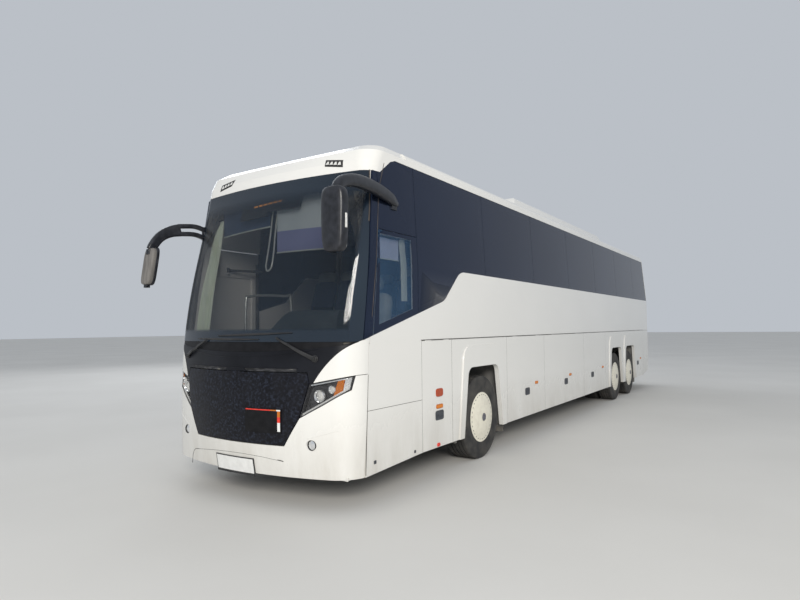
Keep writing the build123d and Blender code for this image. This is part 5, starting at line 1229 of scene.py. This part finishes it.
# Columns: name, finish, x range, top z, low z at each end, depth behind the screen.
BLINDS = [("screen_blind_grey", grey_cloth, (0.072, 0.93), 3.05, (2.700, 2.700), 0.075),
          ("screen_blind_violet", violet_cloth, (0.072, 0.93), 2.700, (2.481, 2.481), 0.075),
          ("screen_blind_navy", navy_cloth, (-0.87, -0.03), 3.05, (2.738, 2.770), 0.075)]
bm = bmesh.new()
for x0, x1 in ((-0.885, -0.015), (0.058, 0.945)):
    even_tube(bm, [hung(x0 + (x1 - x0) * k / 8, 3.075, 0.100) for k in range(9)], (0.030, 0.026), 16)
roller = finished_piece("screen_blind_rollers", bm, satin_black, "body")
for name, finish, (x0, x1), top, lows, depth in BLINDS:
    bm = bmesh.new()
    rows_of_points = []
    for j in range(13):
        row = []
        for i in range(25):
            x = x0 + (x1 - x0) * i / 24
            low = lows[0] + (lows[1] - lows[0]) * i / 24
            z = low + (top - low) * j / 12
            row.append(hung(x, z, depth) + Vector((0, 0.0015 * sin(26 * x + 5 * z), 0)))
        rows_of_points.append(row)
    thin_sheet(bm, rows_of_points)
    blind = finished_piece(name, bm, finish, "body", 60.0)
bm = bmesh.new()
for x0, x1, z0, z1 in ((0.070, 0.932, 2.476, 2.476), (-0.872, -0.028, 2.733, 2.765)):
    path = [hung(x0 + (x1 - x0) * k / 8, z0 + (z1 - z0) * k / 8, 0.073) for k in range(9)]
    even_tube(bm, path, (0.0075, 0.005), 10)
bars = finished_piece("screen_blind_bars", bm, pale_trim, "body")

CURTAIN_HEM = 1.62
CURTAIN_TOP = 2.93
CURTAIN_PLEATS = 7
bm = bmesh.new()
rows_of_points = []
for j in range(31):
    t = j / 30
    z = CURTAIN_HEM + (CURTAIN_TOP - CURTAIN_HEM) * t
    left = -1.015 - 0.040 * min(1.0, 2.4 * t) + 0.115 * max(0.0, (t - 0.80) / 0.20) ** 2
    right = -0.690 - 0.155 * t - 0.020 * max(0.0, (t - 0.80) / 0.20)
    row = []
    for i in range(97):
        u = i / 96
        x = left + (right - left) * u
        pleat = sin(2 * pi * CURTAIN_PLEATS * u + 1.2 * sin(4 * t))
        fold = 0.022 * (1 - 0.35 * t) * pleat * (0.6 + 0.4 * sin(9 * u + 5 * t))
        row.append(behind(x, z, 0.115 + fold))
    rows_of_points.append(row)
thin_sheet(bm, rows_of_points)
curtain = finished_piece("screen_curtain", bm, curtain_cloth, "body", 60.0)
bm = bmesh.new()
even_tube(bm, [behind(x, 2.945, 0.115) for x in (-1.00, -0.95, -0.90, -0.85)], (0.008, 0.008), 12)
track = finished_piece("screen_curtain_track", bm, satin_black, "body")

bm = bmesh.new()
skin_patch(bm, [(-0.414, 2.845), (0.000, 2.862)], [(-0.414, 3.100), (0.000, 3.100)], 12, 5, 0.036, 0.028)
skin_patch(bm, [(0.0002, 2.911), (0.440, 2.907)], [(0.0002, 3.100), (0.440, 3.100)], 12, 5, 0.036, 0.028)
box_piece = finished_piece("destination_box", bm, satin_black, "body", 40.0)
led_amber, tree, shader = mottled_finish("amber_led", 90.0, 2.0, 0.4,
                                         [(0.3, (0.75, 0.27, 0.02)), (0.7, (1.0, 0.45, 0.06))])
shader.inputs["Emission Color"].default_value = (1.0, 0.42, 0.05, 1)
shader.inputs["Emission Strength"].default_value = 0.8
bm = bmesh.new()
bmesh.ops.create_uvsphere(bm, u_segments=8, v_segments=6, radius=0.0045)
led = finished_piece("led_source", bm, led_amber, None)
places = [behind(-0.203 + 0.0143 * i, 2.980 + 0.010 * j + 0.0009 * i, 0.032)
          for i in range(28) for j in range(2) if i % 5 < 4]
leds = repeated_at("destination_leds", led, places, led_amber)
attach(leds, "body")

# Hand-rails in the entrance: a bright steel tube that comes down from the roof, turns in a loop over the
# dash and goes up again, and another on two posts along the stairwell.
rail_steel, tree, shader = mottled_finish("bright_hand_rail", 30.0, 3.0, 0.25,
                                          [(0.3, (0.62, 0.64, 0.60)), (0.7, (0.74, 0.76, 0.71))])
shader.inputs["Metallic"].default_value = 0.5
bm = bmesh.new()
loops = [(-0.030, 3.10, 0.14), (-0.008, 2.95, 0.13), (0.035, 2.76, 0.12), (0.072, 2.58, 0.11),
         (0.098, 2.42, 0.10), (0.110, 2.31, 0.10), (0.148, 2.262, 0.10), (0.186, 2.31, 0.10),
         (0.176, 2.45, 0.10), (0.128, 2.66, 0.11), (0.072, 2.88, 0.13), (0.030, 3.10, 0.14)]
even_tube(bm, smooth_line([behind(*point) for point in loops]), (0.0085, 0.0085), 14)
even_tube(bm, smooth_line([(-0.44, -6.20, 1.42), (-0.44, -6.20, 1.95), (-0.44, -6.12, 2.04),
                           (-0.44, -5.60, 2.06), (-0.44, -5.50, 2.02), (-0.44, -5.47, 1.40)]),
          (0.016, 0.016), 14)
rails = finished_piece("entrance_hand_rails", bm, rail_steel, "body")

# Dashboard: a grained hood right across under the screen, raised into a cowl over the driver's
# instruments, with a dark instrument face, and a wheel rim wrapped in black leather.
COWL_X = 0.28
COWL_RISE = 0.190
STEERING_AT = (0.620, -5.935, 1.700)
STEERING_RADIUS = 0.225
GRIP_RADIUS = 0.0175
dash_dark = cloth("dark_dash_skin", 6.0, (0.025, 0.035, 0.038), (0.05, 0.065, 0.068), 0.55)
bm = bmesh.new()
rings = []
for i in range(41):
    x = -1.08 + 2.14 * i / 40
    if x < COWL_X:
        top = 1.622 + 0.035 * (x + 1.08) / 1.36
    else:
        top = 1.658 + COWL_RISE * sin(min(1.0, (x - COWL_X) / 0.30) * pi / 2)
    front = max(nose_y(x, 1.62) + 0.045, -6.58)
    rise = max(nose_y(x, top) + 0.050, front + 0.05)
    profile = [(front, 1.540), (front, 1.600), (front + 0.5 * (rise - front), 1.605 + 0.72 * (top - 1.605)),
               (rise, top - 0.012), (rise + 0.03, top), (rise + 0.16, top - 0.008), (-6.255, top - 0.035),
               (-6.215, top - 0.065), (-6.205, 1.600), (-6.225, 1.540)]
    rings.append([bm.verts.new((x, y, z)) for y, z in profile])
join_rings(bm, rings)
hood = finished_piece("dash_hood", bm, dash_dark, "body", 50.0)
bm = bmesh.new()
for x, z, wide, high in ((0.60, 1.76, 0.145, 0.060), (0.26, 1.72, 0.085, 0.055), (0.95, 1.70, 0.060, 0.050)):
    mirror_head(bm, (x, -6.205, z), wide, high, [(-0.010, 0.0), (0.006, 0.0), (0.010, 0.004), (0.010, 0.012),
                                                 (0.004, 0.016)], 0.0, (0, 0), 5.0)
dials = finished_piece("instrument_panels", bm, satin_black, "body")
bm = bmesh.new()
centre = Vector(STEERING_AT)
normal = Vector((0, 0.18, 0.26)).normalized()
side_way = Vector((1, 0, 0))
up_way = normal.cross(side_way)
rings = []
for i in range(72):
    a = 2 * pi * i / 72
    out = side_way * cos(a) + up_way * sin(a)
    rings.append([bm.verts.new(centre + out * (STEERING_RADIUS + GRIP_RADIUS * cos(b))
                               + normal * GRIP_RADIUS * sin(b))
                  for b in [2 * pi * k / 16 for k in range(16)]])
join_rings(bm, rings, looped=True)
rim = finished_piece("steering_wheel_rim", bm, satin_black, "body")

# Seats: coach doubles in blue plush with a pale headrest, each cushion and back crowned, with rounded
# sides, and a sprung driver's seat with bolsters and its own headrest.
FLOOR_AT = 1.380
SEAT_XS = (0.514, 0.946)
SEAT_PITCH = 0.790
ROWS = 14


def pad_into(bm, centre, across, up, out, wide, high, layers, square=4.0, count=28, pinch=0.0):
    """A stuffed pad from rounded outlines across and up, each at (distance along out, amount drawn in)."""
    rings = []
    for depth, inset in layers:
        ring = []
        for k in range(count):
            u, v = corner_round(2 * pi * k / count, square)
            if abs(u) > abs(v):
                waist = 1 - pinch * (1 - abs(v)) * (0.3 + abs(u))
            else:
                waist = 1 - pinch * (1 - abs(u)) * 0.5
            ring.append(bm.verts.new(centre + across * u * (wide - inset) * waist + up * v * (high - inset)
                                     + out * depth))
        rings.append(ring)
    join_rings(bm, rings)


SEAT_LAYERS = [(0.0, 0.020), (0.010, 0.005), (0.030, 0.0), (0.060, 0.002), (0.082, 0.014), (0.094, 0.034),
               (0.102, 0.075), (0.106, 0.120)]
ROW_YS = [-4.785 + SEAT_PITCH * i for i in range(ROWS)]
headrest_cloth = cloth("pale_headrest_cover", 7.0, (0.42, 0.44, 0.41), (0.56, 0.58, 0.54))
lean_up = Vector((0, 0.195, 0.640)).normalized()
lean_out = Vector((1, 0, 0)).cross(lean_up) * -1
if lean_out.y > 0:
    lean_out = -lean_out
x_way, y_way, z_way = Vector((1, 0, 0)), Vector((0, 1, 0)), Vector((0, 0, 1))
for side, way in (("left", 1), ("right", -1)):
    rows = [y for y in ROW_YS if way > 0 or y + 0.660 < 0.635 or y > 1.645]
    for part, finish, slot_name in (("seat_cushions", seat_cloth, "seat_cloth"),
                                    ("seat_backs", seat_cloth, "seat_cloth"),
                                    ("headrests", headrest_cloth, "seat_cloth"),
                                    ("seat_frames", satin_black, "black_plastic")):
        bm = bmesh.new()
        for y in rows:
            for x in SEAT_XS:
                spot = Vector((way * x, y, FLOOR_AT))
                if part == "seat_cushions":
                    pad_into(bm, spot + Vector((0, 0.210, 0.345)), x_way, y_way, z_way, 0.198,
                             0.205, SEAT_LAYERS, 4.5, 24, 0.04)
                elif part == "seat_backs":
                    pad_into(bm, spot + Vector((0, 0.517, 0.715)), x_way, lean_up, lean_out, 0.196, 0.245,
                             SEAT_LAYERS[:-1], 4.5, 24, 0.05)
                elif part == "headrests":
                    pad_into(bm, spot + Vector((0, 0.600, 0.995)), x_way, lean_up, lean_out, 0.160, 0.085,
                             SEAT_LAYERS[:-2], 3.5, 20)
                else:
                    box_into(bm, (way * x - 0.190, y + 0.030, FLOOR_AT + 0.325),
                             (way * x + 0.190, y + 0.410, FLOOR_AT + 0.346))
            if part == "seat_frames":
                box_into(bm, (way * 0.730 - 0.150, y + 0.120, FLOOR_AT + 0.002),
                         (way * 0.730 + 0.150, y + 0.320, FLOOR_AT + 0.325))
                box_into(bm, (way * 0.730 - 0.010, y + 0.020, FLOOR_AT + 0.35),
                         (way * 0.730 + 0.010, y + 0.40, FLOOR_AT + 0.58))
        piece = finished_piece(f"{part}_{side}", bm, finish, "body", 40.0)
        if part == "seat_cushions" and way > 0:
            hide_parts("seats")

driver_cloth = cloth("drivers_seat_cloth", 9.0, (0.34, 0.36, 0.31), (0.50, 0.52, 0.46))
back_up = Vector((0, 0.075, 0.60)).normalized()
back_out = Vector((0, -0.60, 0.075)).normalized()
bm = bmesh.new()
pad_into(bm, Vector((0.630, -5.555, 1.385)), x_way, y_way, z_way, 0.228, 0.235,
         [(0.0, 0.020), (0.012, 0.004), (0.05, 0.0), (0.095, 0.006), (0.120, 0.026), (0.132, 0.06),
          (0.128, 0.12)], 4.5, 32, 0.05)
seat = finished_piece("drivers_cushion", bm, driver_cloth, "body", 45.0)
bm = bmesh.new()
pad_into(bm, Vector((0.630, -5.222, 1.760)), x_way, back_up, back_out, 0.226, 0.310,
         [(-0.020, 0.020), (-0.008, 0.004), (0.03, 0.0), (0.075, 0.006), (0.098, 0.026), (0.106, 0.06),
          (0.098, 0.12)],
         4.5, 32, 0.08)
seat = finished_piece("drivers_back", bm, driver_cloth, "body", 45.0)
bm = bmesh.new()
pad_into(bm, Vector((0.630, -5.196, 2.180)), x_way, back_up, back_out, 0.105, 0.088,
         [(-0.010, 0.02), (0.0, 0.006), (0.03, 0.0), (0.060, 0.006), (0.075, 0.03)], 3.2, 28)
seat = finished_piece("drivers_headrest", bm, driver_cloth, "body", 45.0)
bm = bmesh.new()
box_into(bm, (0.475, -5.640, 1.002), (0.785, -5.310, 1.380))
bmesh.ops.bevel(bm, geom=bm.edges[:], offset=0.02, segments=3, affect="EDGES")
base = finished_piece("drivers_seat_base", bm, satin_black, "body")

# Air conditioner: a long glass-fibre pod bolted on the roof. Four round fan openings along its top have
# black rims and grilles of straight bars.
grille_black, tree, shader = mottled_finish("black_grille_mesh", 40.0, 2.0, 0.7,
                                            [(0.3, (0.012, 0.012, 0.013)), (0.7, (0.035, 0.035, 0.036))])
pod_skin = skin_of("air_conditioner", "roof_shell")


def pod_z(x, y):
    hit = pod_skin.ray_cast(Vector((x, y, 6.0)), Vector((0, 0, -1)))[0]
    return hit.z if hit else 3.6


FAN_YS = [-0.95, 0.05, 1.05, 2.05]
# Columns: radius, height over the pod.
FAN_RIM = ((0.300, -0.012), (0.300, -0.0035), (0.285, -0.0005), (0.272, -0.0035), (0.272, -0.012))
RIM_STEPS = 48
GRILLE_RADIUS = 0.276
GRILLE_BARS = 11
for name, y in zip(("one", "two", "three", "four"), FAN_YS):
    top = pod_z(0, y)
    bm = bmesh.new()
    rings = []
    for r, lift in FAN_RIM:
        rings.append([bm.verts.new((r * cos(a), y + r * sin(a), top + lift))
                      for a in [2 * pi * k / RIM_STEPS for k in range(RIM_STEPS)]])
    join_rings(bm, rings, looped=True)
    for k in range(GRILLE_BARS):
        x = -0.25 + 0.05 * k
        reach = sqrt(GRILLE_RADIUS ** 2 - x ** 2)
        box_into(bm, (x - 0.004, y - reach, top - 0.009), (x + 0.004, y + reach, top - 0.003))
    box_into(bm, (-0.275, y - 0.006, top - 0.011), (0.275, y + 0.006, top - 0.006))
    grille = finished_piece(f"fan_grille_{name}", bm, grille_black, "body")

# Tail lamps: tall clusters of fluted red plastic, let into the rear panel on both sides of the engine lid.
# What is fixed on the tail starts from TAIL_REARMOST at most, and so stays within the coach's length.
TAIL_REARMOST = 6.9225
tail_skin = skin_of("rear_panel", "tail_lamps", "engine_lid", "rear_bumper", "rear_window")


def tail_y(x, z):
    """Where the tail's outside lies along Y at this place in the rear view."""
    for dx, dz in ((0, 0), (0.010, 0), (-0.010, 0), (0, 0.010), (0, -0.010)):
        hit = tail_skin.ray_cast(Vector((x + dx, 12.0, z + dz)), Vector((0, -1, 0)))[0]
        if hit and hit.y > 5.8:
            return min(hit.y, TAIL_REARMOST)
    return 6.90


def tail_patch(name, rects, finish, depth, thickness, body="body", way=1):
    """Closed sheets on the tail between corners (x, z), stood out by depth, each thickness thick."""
    bm = bmesh.new()
    for low, high in rects:
        skin_patch(bm, [low, (high[0], low[1])], [(low[0], high[1]), high], 12, 6, depth - thickness,
                   thickness, way, tail_y)
    piece = finished_piece(name, bm, finish, body, 40.0)
    return piece


tail_red, tree, shader = new_finish("tail_lamp_red")
flutes = tree.nodes.new("ShaderNodeTexWave")
flutes.bands_direction = "Z"
flutes.inputs["Scale"].default_value = 30.0
where = tree.nodes.new("ShaderNodeTexCoord")
tree.links.new(where.outputs["Object"], flutes.inputs["Vector"])
tree.links.new(ramp(tree, flutes.outputs["Fac"], [(0.2, (0.30, 0.006, 0.006)), (0.9, (0.50, 0.015, 0.010))]),
               shader.inputs["Base Color"])
shader.inputs["Roughness"].default_value = 0.15
raised(tree, shader, flutes.outputs["Fac"], 0.3, 0.002)
refinish(tail_red, "tail_lamps")

# Painted joints and seals: the joint between the driver's side panels is filled and painted over, a broad
# black sheet closes the gap under the windscreen as painted shade of that gap, and the driver's pane has a
# dark printed border.
bm = bmesh.new()
box_into(bm, (1.2751, -6.222, 1.5235), (1.2758, -5.2955, 1.5365))
filler = finished_piece("painted_joint", bm, body_white, "body")
WIPER_PANEL_TOP = 1.400
PANE_FOOT = 1.590


def sill_y(x, z):
    """The nose between the wiper panel's top and the windscreen's foot, bridged straight."""
    share = (z - WIPER_PANEL_TOP) / (PANE_FOOT - WIPER_PANEL_TOP)
    return nose_y(x, WIPER_PANEL_TOP) * (1 - share) + nose_y(x, PANE_FOOT) * share


# A black sheet bridging the gap under the windscreen: it paints the shade in that gap.
bm = bmesh.new()
skin_patch(bm, [(-1.15, 1.405), (1.15, 1.405)], [(-1.15, 1.582), (1.15, 1.582)], 48, 10, 0.0045,
           0.004, 1, sill_y)
sill = finished_piece("windscreen_foot_rubber", bm, board_black, "body", 40.0)
bm = bmesh.new()
BORDER_OUT = [(-6.155, 1.606), (-5.345, 1.823), (-5.345, 2.635), (-6.040, 2.635)]
BORDER_IN = [(-6.062, 1.705), (-5.455, 1.868), (-5.455, 2.598), (-6.028, 2.598)]
rings = []
for outline, lift in ((BORDER_OUT, 0.0), (BORDER_OUT, 0.0006), (BORDER_IN, 0.0006), (BORDER_IN, 0.0)):
    ring = []
    for (y0, z0), (y1, z1) in zip(outline, outline[1:] + outline[:1]):
        for k in range(8):
            y, z = y0 + (y1 - y0) * k / 8, z0 + (z1 - z0) * k / 8
            ring.append(bm.verts.new((flank_x(y, z) + 0.0002 + lift, y, z)))
    rings.append(ring)
join_rings(bm, rings, looped=True)
border = finished_piece("drivers_pane_border", bm, side_tint, "body", 40.0)

# Mudflaps: black rubber sheets behind each wheel, grey with dust and a little bowed. Three short clamps
# along the top hold each one under the body.
flap_rubber, tree, shader = mottled_finish("dusty_mudflap_rubber", 9.0, 6.0, 0.9,
                                           [(0.3, (0.06, 0.058, 0.052)), (0.75, (0.20, 0.185, 0.16))],
                                           stretch=(1, 1, 0.5))
raised(tree, shader, grain(tree, 120.0, 3.0), 0.4, 0.002)
FLAP_OUTER_X = 1.235
FLAP_TOP = 0.56
# Columns: axle, place along the coach, inner edge, lower edge.
MUDFLAPS = [("front", FRONT_AXLE_Y + 0.655, 0.93, 0.235), ("drive", 3.800, 0.66, 0.300),
            ("tag", TAG_AXLE_Y + 0.600, 0.93, 0.235)]
for place, y, inner, low in MUDFLAPS:
    for side, way in (("left", 1), ("right", -1)):
        bm = bmesh.new()
        rows_of_points = []
        for j in range(9):
            bowed = y + 0.010 * sin(pi * j / 8) + 0.012 * (1 - j / 8)
            z = low + (FLAP_TOP - low) * j / 8
            rows_of_points.append([Vector((way * (inner + (FLAP_OUTER_X - inner) * i / 10), bowed, z))
                                   for i in range(11)])
        thin_sheet(bm, rows_of_points, 0.006)
        for k in range(3):
            box_into(bm, (way * (inner + 0.05 + 0.085 * k) - 0.012, y - 0.004, 0.545),
                     (way * (inner + 0.05 + 0.085 * k) + 0.012, y + 0.016, 0.575))
        mudflap = finished_piece(f"mudflap_{place}_{side}", bm, flap_rubber, "body", 40.0)

# Tail fittings: black frames round the lamp clusters, amber and white fields in them, the lid's louvres
# lined in black, a blank plate, a latch, a high brake lamp and low reflectors.
for side, way in (("left", 1), ("right", -1)):
    tail_patch(f"tail_indicator_{side}", [((0.955, 1.640), (1.105, 1.745))], amber_lens,
               0.004, 0.0035, way=way)
    tail_patch(f"tail_reverse_lamp_{side}", [((0.945, 1.045), (1.105, 1.135))], lamp_white,
               0.004, 0.0035, way=way)
    tail_patch(f"tail_reflector_{side}", [((0.820, 0.515), (1.000, 0.560))], reflector_red,
               0.006, 0.0055, way=way)
    bm = bmesh.new()
    frame_points = [(0.897, 0.997), (1.133, 0.997), (1.133, 1.783), (0.957, 1.783), (0.897, 0.997)]
    for (x0, z0), (x1, z1) in zip(frame_points, frame_points[1:]):
        path = []
        for k in range(11):
            x, z = x0 + (x1 - x0) * k / 10, z0 + (z1 - z0) * k / 10
            path.append(Vector((way * x, tail_y(x, z) + 0.001, z)))
        even_tube(bm, path, (0.006, 0.006), 10)
    lamp_frame = finished_piece(f"tail_lamp_frame_{side}", bm, gasket_black, "body")
tail_patch("rear_plate_holder", [((-0.272, 0.630), (0.272, 0.765))], satin_black,
           0.008, 0.0075)
tail_patch("rear_blank_plate", [((-0.260, 0.642), (0.260, 0.753))], plate_white, 0.011, 0.003)
tail_patch("high_brake_lamp", [((-0.260, 3.235), (0.260, 3.275))], tail_red, 0.009, 0.0085)
tail_patch("engine_lid_latch", [((-0.075, 1.002), (0.075, 1.036))], latch_grey,
           0.006, 0.0055, "engine_lid")
LOUVRES = 9
LOUVRE_STEP = 0.048
LOUVRE_WIDE = 1.194
bm = bmesh.new()
for i in range(LOUVRES):
    z = 1.060 + i * LOUVRE_STEP
    path = []
    for k in range(25):
        x = LOUVRE_WIDE * (k / 24 - 0.5)
        path.append(Vector((x, tail_y(x, z - 0.004) - 0.012, z + 0.011)))
    even_tube(bm, path, (0.0085, 0.003), 8, 4.0)
louvres = finished_piece("engine_lid_louvres", bm, grille_black, "engine_lid")

# Door handles: a flush black plastic handle 1.12 m over the road on each leaf, a stepped plate with a bar
# across it. The leaf and its pane are the CAD model's own.
door_skin = skin_of("front_door", "middle_door", "right_side_panel", "right_windows", "lower_side_panels")


def door_x(y, z):
    hit = door_skin.ray_cast(Vector((-4.0, y, z)), Vector((1, 0, 0)))[0]
    return hit.x if hit and hit.x < -1.0 else -1.275


for door, y, z in (("front_door", -5.430, 1.120), ("middle_door", 0.790, 1.120)):
    bm = bmesh.new()
    x = door_x(y, z)
    for out, half, thick in ((0.0005, 0.060, 0.032), (0.0025, 0.052, 0.026)):
        box_into(bm, (x - out - 0.002, y - half, z - thick), (x - out, y + half, z + thick))
    box_into(bm, (x - 0.012, y - 0.042, z - 0.008), (x - 0.0045, y + 0.042, z + 0.008))
    bmesh.ops.bevel(bm, geom=bm.edges[:], offset=0.0006, segments=1, affect="EDGES")
    handle = finished_piece(f"{door}_handle", bm, satin_black, door)

# Small things at the nose's left corner: the seam of the corner post beside the screen, and a white
# bracket with two ears under the bumper.
bm = bmesh.new()
post_seam = [(1.188, -6.089, 3.215), (1.192, -6.090, 3.198), (1.209, -6.115, 3.013), (1.224, -6.138, 2.841),
             (1.231, -6.160, 2.700)]
even_tube(bm, smooth_line([Vector(point) for point in post_seam]), (0.009, 0.0035), 10, 3.0)
post = finished_piece("corner_post_seam", bm, pane_seam, "body", 40.0)
bm = bmesh.new()
box_into(bm, (1.105, -6.455, 0.306), (1.195, -6.395, 0.314))
box_into(bm, (1.105, -6.459, 0.286), (1.195, -6.453, 0.3155))
for x in (1.118, 1.172):
    box_into(bm, (x, -6.449, 0.284), (x + 0.006, -6.400, 0.3055))
bmesh.ops.bevel(bm, geom=bm.edges[:], offset=0.0009, segments=2, affect="EDGES")
bracket = finished_piece("bumper_bracket", bm, body_white, "body")
